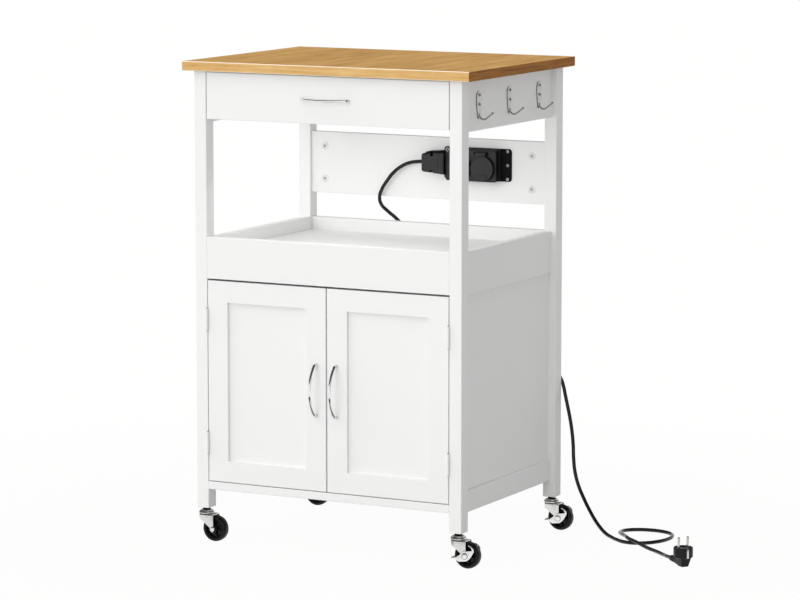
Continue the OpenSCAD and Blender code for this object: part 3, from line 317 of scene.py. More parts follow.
# Near black: painted shade in the screws' cross recesses
RECESS_SHADE = moulded("recess_shade_black", (0.003, 0.003, 0.003), 0.7, 0.02)
DARK_STEEL = metal("steel_dark", (0.10, 0.10, 0.10), 0.34, 0.1)
BRASS = metal("contact_brass", (0.78, 0.60, 0.30), 0.25, 0.08)
COATED = paint("powder_coat", (0.86, 0.86, 0.855), 0.42)
SOFT_WHITE = moulded("plastic_white", (0.86, 0.86, 0.85), 0.42, 0.4, 700.0, 0.00002)
BLACK = moulded("plastic_black", (0.013, 0.013, 0.0135), 0.34, 0.16)
# A darker copy of the black plastic: painted shade on the socket strip's ears and lugs; the caster collars
# take it too
SHADED_BLACK = moulded("plastic_black_shaded", (0.006, 0.006, 0.006), 0.46, 0.08)
# Black of the strip's face, lids and gland, with painted shade on every face that doesn't face the front
FACE_BLACK_SHADED_SIDES = moulded("plastic_face_shaded_sides", (0.046, 0.046, 0.047), 0.50, 0.10, side_shade=(0.004, 0.004, 0.004))
CORD_BLACK = moulded("sheath_black", (0.005, 0.005, 0.0055), 0.17, 0.38, 500.0, 0.00001)
WHEEL_BLACK = moulded("wheel_black", (0.0055, 0.0055, 0.006), 0.25, 0.22, 1200.0, 0.00003)


# ---------------- mesh helpers, millimetres in
def new_object(name, data):
    ob = bpy.data.objects.new(name, data)
    bpy.context.scene.collection.objects.link(ob)
    return ob


def from_bmesh(name, bm):
    bmesh.ops.remove_doubles(bm, verts=bm.verts, dist=1e-7)
    bmesh.ops.recalc_face_normals(bm, faces=bm.faces)
    mesh = bpy.data.meshes.new(name)
    bm.to_mesh(mesh)
    bm.free()
    return new_object(name, mesh)


def spot(axis, p, t):
    """The point p of a plane square to axis, at t along it, in metres."""
    return Vector({"x": (t, p[0], p[1]), "y": (p[0], t, p[1]), "z": (p[0], p[1], t)}[axis]) * MM


def prism(name, outline, axis, a, b):
    bm = bmesh.new()
    low = [bm.verts.new(spot(axis, p, a)) for p in outline]
    high = [bm.verts.new(spot(axis, p, b)) for p in outline]
    bm.faces.new(low)
    bm.faces.new(high)
    n = len(outline)
    for i in range(n):
        bm.faces.new((low[i], low[(i + 1) % n], high[(i + 1) % n], high[i]))
    return from_bmesh(name, bm)


def slab(name, x, y, z):
    return prism(name, [(x[0], y[0]), (x[1], y[0]), (x[1], y[1]), (x[0], y[1])], "z", z[0], z[1])


def lathe(name, profile, axis, centre, n):
    """Turns (radius, along) points about an axis through centre; the profile runs from end to end."""
    bm = bmesh.new()
    cu, cv, ct = {"x": (1, 2, 0), "y": (0, 2, 1), "z": (0, 1, 2)}[axis]
    rings = []
    for r, t in profile:
        if r < 1e-6:
            rings.append([bm.verts.new(spot(axis, (centre[cu], centre[cv]), centre[ct] + t))])
        else:
            rings.append([])
            for k in range(n):
                a = 2 * math.pi * k / n
                at = (centre[cu] + r * math.cos(a), centre[cv] + r * math.sin(a))
                rings[-1].append(bm.verts.new(spot(axis, at, centre[ct] + t)))
    for a, b in zip(rings, rings[1:]):
        for k in range(n):
            m = (k + 1) % n
            if len(a) == 1 and len(b) == 1:
                continue
            if len(a) == 1:
                bm.faces.new((a[0], b[m], b[k]))
            elif len(b) == 1:
                bm.faces.new((a[k], a[m], b[0]))
            else:
                bm.faces.new((a[k], a[m], b[m], b[k]))
    return from_bmesh(name, bm)


def drum(name, r, a, b, axis, centre, n):
    """A plain cylinder of radius r, from a to b along the axis."""
    return lathe(name, [(0, a), (r, a), (r, b), (0, b)], axis, centre, n)


def sweep(name, path, section, first=(1, 0, 0)):
    """A skin along path; section(i) gives (across, up) points in the ring's own plane."""
    pts = [Vector(p) for p in path]
    last = len(pts) - 1
    dirs = [(pts[min(i + 1, last)] - pts[max(i - 1, 0)]).normalized() for i in range(last + 1)]
    side = Vector(first)
    bm = bmesh.new()
    rings = []
    for i, (p, d) in enumerate(zip(pts, dirs)):
        side = (side - d * side.dot(d)).normalized()
        up = d.cross(side)
        rings.append([bm.verts.new((p + side * a + up * b) * MM) for a, b in section(i)])
    n = len(rings[0])
    for a, b in zip(rings, rings[1:]):
        for k in range(n):
            bm.faces.new((a[k], a[(k + 1) % n], b[(k + 1) % n], b[k]))
    bm.faces.new(rings[0])
    bm.faces.new(rings[-1])
    return from_bmesh(name, bm)


def oval(a, b, n, power=2.0):
    """A superellipse with half axes a and b."""
    pts = []
    for k in range(n):
        c, s = math.cos(2 * math.pi * k / n), math.sin(2 * math.pi * k / n)
        pts.append((
            a * math.copysign(abs(c) ** (2 / power), c),
            b * math.copysign(abs(s) ** (2 / power), s),
        ))
    return pts


def round_box(w, h, r, cx=0.0, cy=0.0):
    """A rectangle with round corners, centred on (cx, cy)."""
    pts = []
    n = 6
    for sx, sy, a0 in ((1, 1, 0), (-1, 1, 90), (-1, -1, 180), (1, -1, 270)):
        for k in range(n + 1):
            a = math.radians(a0 + 90 * k / n)
            pts.append((cx + sx * (w / 2 - r) + r * math.cos(a), cy + sy * (h / 2 - r) + r * math.sin(a)))
    return pts


def arc(cx, cy, r, a0, a1, n):
    """Points on a circle about (cx, cy), from a0 to a1 degrees."""
    turns = [math.radians(a0 + (a1 - a0) * k / n) for k in range(n + 1)]
    return [(cx + r * math.cos(a), cy + r * math.sin(a)) for a in turns]


def applied(ob):
    """Turns the object's modifiers into its mesh."""
    dg = bpy.context.evaluated_depsgraph_get()
    mesh = bpy.data.meshes.new_from_object(ob.evaluated_get(dg))
    ob.modifiers.clear()
    old, ob.data = ob.data, mesh
    bpy.data.meshes.remove(old)
    return ob


def bevelled(ob, width, segments=2, angle=35):
    mod = ob.modifiers.new("bevel", "BEVEL")
    mod.width = width * MM
    mod.segments = segments
    mod.limit_method = "ANGLE"
    mod.angle_limit = math.radians(angle)
    mod.use_clamp_overlap = True
    return applied(ob)


def combined(ob, other, how):
    mod = ob.modifiers.new("boolean", "BOOLEAN")
    mod.operation = how
    mod.object = other
    mod.solver = "EXACT"
    applied(ob)
    bpy.data.objects.remove(other)
    return ob


def cut(ob, *others):
    for other in others:
        combined(ob, other, "DIFFERENCE")
    return ob


def joined(name, obs):
    """One object from several, their meshes kept apart."""
    bm = bmesh.new()
    for ob in obs:
        bm.from_mesh(ob.data)
        bpy.data.objects.remove(ob)
    mesh = bpy.data.meshes.new(name)
    bm.to_mesh(mesh)
    bm.free()
    return new_object(name, mesh)


def moved(ob, matrix):
    ob.data.transform(matrix)
    return ob


def rotation(degrees, axis):
    return Matrix.Rotation(math.radians(degrees), 4, axis)


def translation(point):
    return Matrix.Translation(Vector(point) * MM)


def piece(ob, mat, body, slot, *replaces, smooth=38):
    """Finishes a piece: shading, material, body and the CAD nodes that it stands for; slot is not used."""
    ob.data.materials.clear()
    ob.data.materials.append(mat)
    ob.data.polygons.foreach_set("use_smooth", [True] * len(ob.data.polygons))
    ob.data.set_sharp_from_angle(angle=math.radians(smooth))
    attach(ob, body)
    if replaces:
        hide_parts(*replaces)
    return ob


# ---------------- mains lead
CORD = [
    (3.5, 178, 701.5), (-12, 178, 701.2), (-32, 178, 697.5), (-50, 178, 689),
    (-66, 178, 676.5), (-80, 178.5, 660), (-92, 180, 643), (-99, 184, 627),
    (-99.5, 192, 612), (-91, 203, 598), (-77, 211, 584), (-62, 214.5, 567),
    (-46, 215.5, 546), (-28, 216, 521), (-6, 216.5, 494), (20, 217, 466),
    (50, 217.5, 438), (84, 218, 411), (120, 218.5, 386), (157, 219, 363.5),
    (193, 219.2, 343.5), (225, 219.2, 327.5), (247, 219.2, 316.5), (259, 219.2, 309.3),
    (267, 219.2, 302.7), (276, 219.2, 293), (282.5, 218.5, 278), (287, 217.5, 261),
    (293, 215.5, 240), (299, 213.5, 218), (304.5, 211.5, 192), (308, 210, 165),
    (309.5, 209, 140), (313, 207.5, 116), (322, 204, 90.5), (336, 199, 66.5),
    (353, 192.5, 43), (372, 185, 22), (392, 176, 8), (412, 162.5, 3.8),
    (431, 146, 3.6), (452, 134, 3.6), (474, 134.5, 3.6), (493, 147, 3.6),
    (506, 167, 3.6), (513, 192, 3.6), (511.5, 220, 3.6), (499.5, 244, 3.6),
    (478, 257.5, 3.6), (452, 260.5, 3.6), (426, 252.5, 3.8), (410, 234, 4.4),
    (409.5, 208, 5.8), (422, 184, 8), (442, 158, 10.4), (461, 133, 11.2),
    (484, 119, 8.6), (512, 101, 4.8), (541, 80.5, 3.8), (565, 57.5, 4.5),
    (582, 37.5, 6.6), (595.02, 24.69, 8),
]


def make_cord():
    data = bpy.data.curves.new("mains_lead", "CURVE")
    data.dimensions = "3D"
    data.resolution_u = 6
    data.bevel_depth = 3.5 * MM
    data.bevel_resolution = 6
    data.use_fill_caps = True
    line = data.splines.new("BEZIER")
    line.bezier_points.add(len(CORD) - 1)
    for point, co in zip(line.bezier_points, CORD):
        point.co = Vector(co) * MM
        point.handle_left_type = point.handle_right_type = "AUTO"
    ob = new_object("mains_lead", data)
    data.materials.append(CORD_BLACK)
    bpy.context.view_layer.update()
    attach(ob, "frame")
    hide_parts("mains_cord")
    return ob, line.calc_length()


lead, lead_length = make_cord()


# ---------------- plug
def plug_matrix():
    return Matrix.Translation((PLUG_AT[0] * MM, PLUG_AT[1] * MM, 0)) @ rotation(PLUG_TURN, "Z")


def stack(name, levels):
    """A skin through outlines one above another; a level is (z, outline)."""
    bm = bmesh.new()
    rings = [[bm.verts.new(Vector((*p, z)) * MM) for p in outline] for z, outline in levels]
    n = len(rings[0])
    for low, high in zip(rings, rings[1:]):
        for k in range(n):
            bm.faces.new((low[k], low[(k + 1) % n], high[(k + 1) % n], high[k]))
    bm.faces.new(rings[0])
    bm.faces.new(rings[-1])
    return from_bmesh(name, bm)


def make_plug():
    """Plug on its back: a narrow faceted foot under a round head, pins up, the lead's boot at one side."""
    spin = plug_matrix()
    r, top = PLUG_R, PLUG_TOP
    # Height, half axes and squareness of each level
    head = [
        (13.6, 11.0, 9.6, 5.0), (14.4, 12.6, 11.4, 3.4), (17.8, r - 0.5, r - 0.5, 2.1), (18.8, r, r, 2.0),
        (top - 1.3, r, r, 2.0), (top - 0.4, r - 0.4, r - 0.4, 2.0),
        (top, r - 1.1, r - 1.1, 2.0), (top, r - 2.0, r - 2.0, 2.0), (top - 1.6, r - 2.5, r - 2.5, 2.0),
        (top - 1.8, r - 3.4, r - 3.4, 2.0),
    ]
    body = stack("plug_shell", [(z, oval(a, b, 64, power)) for z, a, b, power in head])
    foot = [(0.0, 15.2, 13.0), (0.8, 16.8, 14.6), (3.0, 17.2, 15.0), (14.6, 23.6, 20.4)]
    foot = stack("foot", [(z, round_box(w, h, 1.3)) for z, w, h in foot])
    # Channels for the earth strips at both sides
    for lo, hi in ((r - 1.6, r + 1), (-r - 1, 1.6 - r)):
        cut(body, slab("channel", (lo, hi), (-2.6, 2.6), (PLUG_HEAD, top + 3)))
    bevelled(body, 0.3, 2, 40)
    body = joined("plug_shell", [body, foot])
    moved(body, spin)
    piece(body, BLACK, "frame", "black_plastic", "plug_body", smooth=30)

    # Boot: a box that narrows to the lead, with a step and two slots that let it bend
    path, half = [], []
    for x, a, b in (
        (7.0, 7.4, 7.8), (16.0, 7.2, 7.4), (17.0, 6.5, 6.8), (25.0, 6.1, 6.3), (25.4, 5.3, 5.5),
        (27.0, 5.3, 5.5), (27.4, 5.9, 6.1), (32.0, 5.6, 5.8), (32.4, 4.9, 5.1), (34.0, 4.9, 5.1),
        (34.4, 5.4, 5.6), (BOOT_LEN - 0.8, 5.1, 5.2), (BOOT_LEN, 4.5, 4.6),
    ):
        path.append((x, 0.0, BOOT_Z))
        half.append((a, b))
    boot = sweep("plug_boot", path, lambda i: oval(*half[i], 32, 3.4), (0, 1, 0))
    moved(boot, spin)
    piece(boot, BLACK, "frame", "black_plastic", smooth=30)

    pins = []
    for s in (-1, 1):
        pins.append(lathe("pin", [
            (0, top - 2.0), (3.4, top - 2.0), (3.4, top - 1.1), (3.0, top - 0.7), (PIN_R, top - 0.6),
            (PIN_R, PIN_TOP - 2.4), (PIN_R - 0.3, PIN_TOP - 1.0), (PIN_R - 0.9, PIN_TOP - 0.2),
            (PIN_R - 1.6, PIN_TOP), (0, PIN_TOP),
        ], "z", (0, s * PIN_PITCH / 2, 0), 24))
    pin_ob = joined("plug_pin_pair", pins)
    moved(pin_ob, spin)
    piece(pin_ob, PIN_METAL, "frame", "chrome", "plug_pins")
    strips = []
    for s in (-1, 1):
        out = sorted((s * (r - 1.5), s * (r - 0.7)))
        over = sorted((s * (r - 5.0), s * (r - 0.8)))
        strips.append(bevelled(slab("strip", out, (-2.2, 2.2), (PLUG_HEAD + 0.2, top - 0.4)), 0.25, 2))
        strips.append(bevelled(slab("strip", over, (-2.2, 2.2), (top - 1.0, top - 0.4)), 0.2, 1))
    strip_ob = joined("plug_earth_strips", strips)
    moved(strip_ob, spin)
    piece(strip_ob, PIN_METAL, "frame", "chrome")
    return [body, boot, pin_ob, strip_ob]


plug_pieces = make_plug()


# ---------------- CAD nodes that stay, with their materials
STAY = {
    WOOD: ["tabletop"],
    WHITE: [
        *(f"leg_{corner}" for corner in CORNERS),
        *(f"{board}_{side}" for board in ("apron", "tray", "side_panel", "door")
          for side in ("left", "right")),
        "apron_rear", "socket_board", "tray_front", "tray_rear", "tray_floor", "side_rails",
        "bottom_panel", "drawer_front",
    ],
    WHITE_FLAT: [
        "back_panel", "shelf", "drawer_side_left", "drawer_side_right", "drawer_back", "drawer_bottom",
    ],
    COATED: ["hinge_leaves", "drawer_runners", "drawer_slides", "door_fittings_left", "door_fittings_right"],
    SOFT_WHITE: ["door_catch", "cord_clip"],
    ZINC: ["shelf_pins"],
    BRASS: ["earth_clips"],
}
for material, names in STAY.items():
    for name in names:
        slots = NODES[name].data.materials
        slots.clear()
        slots.append(material)


# ---------------- handles
def make_handle(name, body, node, middle, upright):
    """Bow handle: a flat oval bar on an arc, wider at its round ends, on two feet with small collars."""
    reach, half, thick = 29.0, 51.0, 4.0
    end = thick / 2 + 2
    rise = reach - thick / 2 - end
    bow = (half * half + rise * rise) / (2 * rise)
    sweep_half = math.asin(half / bow)
    count = 48
    path, shares = [], []
    for i in range(count + 1):
        s = -1 + 2 * i / count
        a = s * sweep_half
        path.append((0.0, -(end + rise) + bow * (1 - math.cos(a)), bow * math.sin(a)))
        shares.append(s)

    def section(i):
        s = abs(shares[i])
        left = (1 - s) * half
        close = min(1.0, math.sqrt(max(0.0, 1 - (1 - min(left, 4.0) / 4.0) ** 2)) + 0.02)
        wide = (2.5 + 1.0 * s ** 4) * close
        deep = (1.8 - 0.25 * s ** 3) * (0.35 + 0.65 * close)
        return oval(wide, deep, 24, 2.3)

    parts = [sweep("bar", path, section)]
    foot = [(0, 0), (2.8, 0), (2.8, -0.5), (2.4, -0.9), (1.9, -1.4), (1.8, -3.4), (2.0, -5.5), (0, -5.6)]
    for z in (-48.0, 48.0):
        parts.append(lathe("foot", foot, "y", (0, 0, z), 28))
    ob = joined(name, parts)
    moved(ob, translation(middle) @ rotation(0 if upright else 90, "Y"))
    return piece(ob, CHROME, body, "chrome", node, smooth=45)


make_handle("drawer_pull", "drawer", "drawer_handle", (0, FRONT_Y, DRAWER_PULL_Z), False)
make_handle("left_door_pull", "left_door", "door_handle_left", (-DOOR_PULL_X, FRONT_Y, DOOR_PULL_Z), True)
make_handle("right_door_pull", "right_door", "door_handle_right", (DOOR_PULL_X, FRONT_Y, DOOR_PULL_Z), True)


# ---------------- screws
def screw_parts(at, axis, sign, head=3.0):
    """Pan head with a cross recess, on a surface, facing along sign; then dark pieces sunk in the recess,
    painted shade in its hollow.
    """
    height = 1.8
    dome = [
        (0, height), (head * 0.4, height), (head * 0.72, height * 0.93), (head * 0.93, height * 0.62),
        (head, height * 0.2), (head, 0), (0, 0),
    ]
    ob = lathe("screw", [(r, sign * t) for r, t in dome], axis, at, 28)
    k = "xyz".index(axis)
    tip = {"x": rotation(90, "Y"), "y": rotation(90, "X")}[axis]
    top, outward = Vector(at), Vector((0, 0, 0))
    top[k] += sign * (height + 0.1)
    outward[k] = sign

    def cross(reach, half, deep, sunk):
        """Two crossed bars, sunk below the head's top."""
        bars = []
        for turn in (0, 90):
            bar = slab("bar", (-reach, reach), (-half, half), (-deep, deep))
            moved(bar, tip @ rotation(turn, "Z"))
            bars.append(moved(bar, translation(top - outward * sunk)))
        return bars

    def well(reach, low, high):
        """Round middle of the recess, between two heights over the head's top."""
        return drum("well", reach, sign * (height + low), sign * (height + high), axis, at, 20)

    cut(ob, *cross(2.5, 0.85, 0.8, 0.0), well(1.7, -0.9, 0.2))
    # The second list paints the recess's shade: a cross and a well just inside it, in a dark material
    return ob, [*cross(2.4, 0.8, 0.3, 0.6), well(1.65, -0.95, -0.35)]


# ---------------- hooks
def hook_outline():
    r, h, foot = HOOK_R, HOOK_H, 5.5
    pts = arc(0, h - r, r, 0, 180, 24)
    pts += [(-r, h - r - 12), (-foot, 3), (-foot + 1, 1.0), (-foot + 2.5, 0)]
    pts += [(foot - 2.5, 0), (foot - 1, 1.0), (foot, 3), (r, h - r - 12)]
    return pts


def hook_rod(y):
    """Rod from behind the plate's foot round a bend and up to its ball tip."""
    rod_r, tip_r, bend_r, bend_z, rise = 1.5, 2.3, 9.0, 7.5, math.radians(HOOK_RISE)
    bend_x = rod_r + 0.05 + bend_r
    path = [(APRON_X + bend_x - bend_r, y, HOOK_Z + bend_z + k) for k in range(2, 0, -1)]
    for a, b in arc(APRON_X + bend_x, HOOK_Z + bend_z, bend_r, 180, 270 + HOOK_RISE, 28):
        path.append((a, y, b))
    end = Vector(path[-1])
    run = (HOOK_REACH - tip_r - (end.x - APRON_X)) / math.cos(rise)
    for k in range(1, 7):
        path.append(end + Vector((math.cos(rise), 0, math.sin(rise))) * run * k / 6)
    rod = sweep("rod", path, lambda i: oval(rod_r, rod_r, 16), (0, 1, 0))
    ball = [(0, -tip_r)] + [(b, -a) for a, b in arc(0, 0, tip_r, 15, 165, 10)] + [(0, tip_r)]
    return [rod, lathe("ball", ball, "x", path[-1], 24)]


def make_hooks():
    plates, rods, screws, pit_shades = [], [], [], []
    for y in HOOK_Y:
        outline = [(y + a, HOOK_Z + b) for a, b in hook_outline()]
        plate = prism("plate", outline, "x", APRON_X, APRON_X + HOOK_SHEET)
        for z in HOOK_SCREWS:
            cut(plate, drum("hole", 1.7, -1, 3, "x", (APRON_X, y, z), 24))
        plates.append(bevelled(plate, 0.5, 3))
        rods += hook_rod(y)
        for z in HOOK_SCREWS:
            head, pit = screw_parts((APRON_X + HOOK_SHEET, y, z), "x", 1)
            screws.append(head)
            pit_shades += pit
    head, pit = screw_parts(CLIP_SCREW, "y", 1)
    screws.append(head)
    pit_shades += pit
    piece(joined("hook_plates", plates), PLATE_RIM_SHADED, "frame", "zinc", "side_hooks")
    piece(joined("hook_rods", rods), NICKEL, "frame", "zinc", smooth=50)
    piece(joined("small_screws", screws), SATIN, "frame", "zinc", "fixing_screws")
    # Painted shade in the hook and clip screws' recesses
    piece(joined("screw_recess_shades", pit_shades), RECESS_SHADE, "frame", "zinc")


make_hooks()


# ---------------- cam locks
def make_cams():
    caps = []
    rim = [(0, 0.15), (3.2, 0.15), (3.7, -0.25), (6.9, -0.35), (7.4, -0.1), (7.7, 0.5), (7.7, 1.0), (0, 1.0)]
    for x in CAM_X:
        for z in CAM_Z:
            cap = lathe("cap", rim, "y", (x, BOARD_Y - 0.45, z), 40)
            for turn in (45, 135):
                bar = slab("bar", (-3.6, 3.6), (-0.55, 0.55), (-1.2, 1.2))
                moved(bar, rotation(90, "X") @ rotation(turn, "Z"))
                cut(cap, moved(bar, translation((x, BOARD_Y - 0.3, z))))
            caps.append(cap)
    piece(joined("cam_caps", caps), SOFT_WHITE, "frame", "white_plastic", "cam_locks")


make_cams()


# ---------------- socket strip
def make_strip():
    x0, x1 = STRIP_X - BOX_HALF, STRIP_X + BOX_HALF
    z0, z1 = STRIP_Z - STRIP_HALF_H, STRIP_Z + STRIP_HALF_H
    wide, tall = x1 - x0, z1 - z0
    # Box: a raised front tray, two stepped walls behind it and a plinth
    outline = round_box(wide, tall - 2.5, 5.0, STRIP_X, STRIP_Z - 1.2)
    cover = bevelled(prism("strip_cover", outline, "y", STRIP_Y, STRIP_Y + 6), 1.2, 3)
    outline = round_box(wide - 3, tall - 1.5, 4.0, STRIP_X, STRIP_Z - 0.6)
    wall = prism("strip_wall", outline, "y", STRIP_Y + 5, STRIP_Y + 19)
    plinth = prism("strip_plinth", round_box(wide, tall, 4.0, STRIP_X, STRIP_Z), "y", STRIP_Y + 18, BOARD_Y)
    bevelled(plinth, 1.0, 2)
    shell = [cover, wall, plinth]
    for ob in shell:
        for x in SOCKETS.values():
            cut(ob, drum("well", 19.5, -4, 14.5, "y", (x, STRIP_Y + 3, SOCKET_Z), 64))
    ears = prism("ears", round_box(144, tall, 6, STRIP_X, STRIP_Z), "y", BOARD_Y - EAR_SHEET, BOARD_Y)
    ears = bevelled(ears, 0.6, 2)
    # Wells with a floor that holds the pin holes
    cups = []
    for x in SOCKETS.values():
        cup = lathe("cup", [
            (19.9, 0.4), (20.4, 0.0), (20.4, 19.0), (0, 19.0), (0, 17.5), (18.4, 17.5), (18.9, 16.8),
            (19.4, 1.0), (19.9, 0.4),
        ], "y", (x, STRIP_Y, SOCKET_Z), 64)
        for s in (-1, 1):
            cut(cup, drum("hole", 2.7, 12, 22, "y", (x + s * PIN_PITCH / 2, STRIP_Y, SOCKET_Z), 24))
        cups.append(cup)
    lugs = []
    for x in SOCKETS.values():
        for at in (x - 15 - 3.3, x + 6 + 0.3):
            outline = arc(PIVOT_Y, PIVOT_Z, 3.0, 90, 270, 12)
            outline += [(STRIP_Y + 1, PIVOT_Z - 3), (STRIP_Y + 1, PIVOT_Z + 3)]
            lugs.append(bevelled(prism("lug", outline, "x", at, at + 3), 0.35, 2))
    piece(joined("strip_shell", shell + cups), FACE_BLACK_SHADED_SIDES, "frame", "black_plastic", "socket_housing")
    # The ears and lugs are of the shell's plastic, painted darker as shade
    piece(joined("strip_ears", [ears, *lugs]), SHADED_BLACK, "frame", "black_plastic")
    make_gland(x0, z0, z1)

    screws, pit_shades = [], []
    for sx, sz in ((-1, -1), (-1, 1), (1, -1), (1, 0), (1, 1)):
        at = (STRIP_X + sx * EAR_X, BOARD_Y - EAR_SHEET, STRIP_Z + sz * EAR_Z)
        head, pit = screw_parts(at, "y", -1, 3.1)
        screws.append(head)
        pit_shades += pit
    piece(joined("strip_screws", screws), BRIGHT_ZINC, "frame", "zinc")
    # Painted shade in the strip screws' recesses, in a darker zinc
    piece(joined("strip_recess_shades", pit_shades), SATIN, "frame", "zinc")


def make_gland(x1, z0, z1):
    """Clamp housing of the lead: a faceted block with two notches and two grooves, and its end flange."""
    near, far, mid = 3.5, x1 - 8.5, 701.5
    y0, y1 = 163.0, BOARD_Y - EAR_SHEET
    outline = [
        (near, mid - 13), (near + 1.2, mid - 16.0), (near + 4, mid - 17.5), (far, mid - 21.5),
        (far, mid + 24.5), (near + 9, mid + 21.5), (near + 7.5, mid + 19.0), (near + 3.5, mid + 18.2),
        (near + 1, mid + 16.4), (near, mid + 13),
    ]
    block = prism("gland", outline, "y", y0, y1)
    # The top leans back, so that it shows as a facet of its own
    lean = [(y0 - 1, mid + 15.0), (y0 + 7, mid + 25.6), (y0 - 1, mid + 30)]
    cut(block, prism("lean", lean, "x", near - 1, far + 1))
    for lo, hi in ((mid + 13.0, mid + 26.0), (mid - 26.5, mid - 14.0)):
        cut(block, slab("notch", (near + 18.5, near + 24.5), (y0 - 1, y0 + 12), (lo, hi)))
    for at in (far - 13.0, far - 2.0):
        cut(block, slab("groove", (at, at + 0.9), (y0 - 1, y0 + 0.8), (mid - 14, mid + 8)))
    bevelled(block, 0.8, 3)
    nose = lathe("nose", [(0, 0.2), (4.3, 0.2), (4.9, 0.9), (5.2, 4.0), (0, 4.0)], "x", (near, 178, mid), 32)
    piece(joined("gland_block", [block, nose]), FACE_BLACK_SHADED_SIDES, "frame", "black_plastic", "cord_gland")
    outline = round_box(11.5, z1 - z0 + 1.0, 4.5, far + 5.5, (z0 + z1) / 2)
    flange = prism("gland_flange", outline, "y", y0 + 9, y1)
    hole_at = (STRIP_X - 56.5, y0 + 9, z1 - 4.6)
    cut(flange, drum("hole", 3.6, -5, 40, "y", hole_at, 32))
    piece(bevelled(flange, 0.7, 2), FACE_BLACK_SHADED_SIDES, "frame", "black_plastic")
    ring = [(2.2, 0.9), (2.5, 0.2), (3.4, 0.2), (3.5, 4.0), (2.2, 4.0), (2.2, 0.9)]
    piece(lathe("gland_ring", ring, "y", hole_at, 32), ZINC, "frame", "zinc")


make_strip()


def make_lid(side):
    x = SOCKETS[side]
    back, front = STRIP_Y - 0.3, STRIP_Y - 9.3
    disc = lathe("lid_disc", [
        (0, front + 0.3), (21.6, front + 0.1), (23.2, front + 0.2), (24.1, front + 0.9),
        (24.5, front + 2.2), (24.5, back - 0.5), (24.0, back), (22.6, back), (22.4, front + 2.6),
        (0, front + 2.4),
    ], "y", (x, 0, SOCKET_Z), 96)
    neck = slab("neck", (x - 15, x + 6), (PIVOT_Y - 2.8, PIVOT_Y + 1), (SOCKET_Z + 17, PIVOT_Z + 1.6))
    bevelled(neck, 0.7, 2)
    pivot = (x, PIVOT_Y, PIVOT_Z)
    profile = [(0, -15), (2.5, -15), (3.0, -14.5), (3.0, 5.5), (2.5, 6), (0, 6)]
    barrel = lathe("barrel", profile, "x", pivot, 32)
    pin = drum("pin", 1.2, -18, 9, "x", pivot, 16)
    tab = prism("tab", [
        (x - 11, SOCKET_Z - 12), (x + 11, SOCKET_Z - 12), (x + 9.5, SOCKET_Z - 20.5),
        (x + 7.5, SOCKET_Z - 22), (x - 7.5, SOCKET_Z - 22), (x - 9.5, SOCKET_Z - 20.5),
    ], "y", front - 1.4, front + 1.5)
    # Grip ribs along the tab's upper edge
    for k in range(9):
        at = x - 8.8 + k * 2.2
        across, height = (at - 0.35, at + 0.35), (SOCKET_Z - 15.5, SOCKET_Z - 13)
        cut(tab, slab("groove", across, (front - 2, front - 0.9), height))
    bevelled(tab, 0.4, 2)
    lid = joined(f"lid_{side}", [disc, neck, barrel, pin, tab])
    piece(lid, FACE_BLACK_SHADED_SIDES, f"{side}_lid", "black_plastic", f"socket_lid_{side}")


make_lid("left")
make_lid("right")


# ---------------- casters
def at_corner(tag):
    sx, sy = CORNERS[tag]
    return sx * LEG_X, sy * LEG_Y


def make_stems():
    caps, collars, pins, grooves = [], [], [], []
    r, r2 = CAP_R, CAP_R - CAP_STEP
    for tag in CORNERS:
        x, y = at_corner(tag)
        caps.append(lathe("cap", [
            (0, CAP_Z), (r - 1.2, CAP_Z), (r - 0.2, CAP_Z + 0.6), (r, CAP_Z + 1.4),
            (r - 0.2, CAP_MID - 1.9), (r - 0.9, CAP_MID - 0.8), (r - 2.1, CAP_MID - 0.1),
            (r2 + 0.2, CAP_MID - 0.3), (r2, CAP_MID + 0.4), (r2 - 0.3, CAP_TOP - 1.4),
            (r2 - 1.2, CAP_TOP - 0.5), (r2 - 2.8, CAP_TOP), (0, CAP_TOP),
        ], "z", (x, y, 0), 64))
        # Painted shade: dark rings at the foot of each step of the cap, where its gaps lie in shade
        for radius, z in ((r2 + 0.9, CAP_MID - 0.1), (r - 0.7, CAP_Z - 0.1), (8.4, CAP_TOP - 0.1)):
            ring = [(0, z), (radius, z), (radius + 0.3, z + 0.25), (radius, z + 0.5), (0, z + 0.5)]
            grooves.append(lathe("groove", ring, "z", (x, y, 0), 64))
        collars.append(lathe("collar", [
            (0, CAP_TOP), (6.9, CAP_TOP), (7.0, CAP_TOP + 0.3), (7.0, LEG_END - 0.4), (6.7, LEG_END),
            (0, LEG_END),
        ], "z", (x, y, 0), 40))
        pins.append(lathe("pin", [
            (0, 49.0), (4.4, 49.0), (5.6, 49.4), (6.0, 50.5), (4.0, 50.5), (4.0, CAP_Z + 1), (0, CAP_Z + 1),
        ], "z", (x, y, 0), 32))
        pins.append(drum("stem", 4.0, LEG_END - 2, LEG_END + 38, "z", (x, y, 0), 24))
    piece(joined("caster_caps", caps), ZINC, "frame", "zinc", "caster_stems", smooth=50)
    piece(joined("caster_pins", pins), ZINC, "frame", "zinc")
    piece(joined("caster_collars", collars), SHADED_BLACK, "frame", "black_plastic")
    # Painted shade rings at the cap's steps
    piece(joined("cap_gap_shades", grooves), DARK_STEEL, "frame", "zinc")


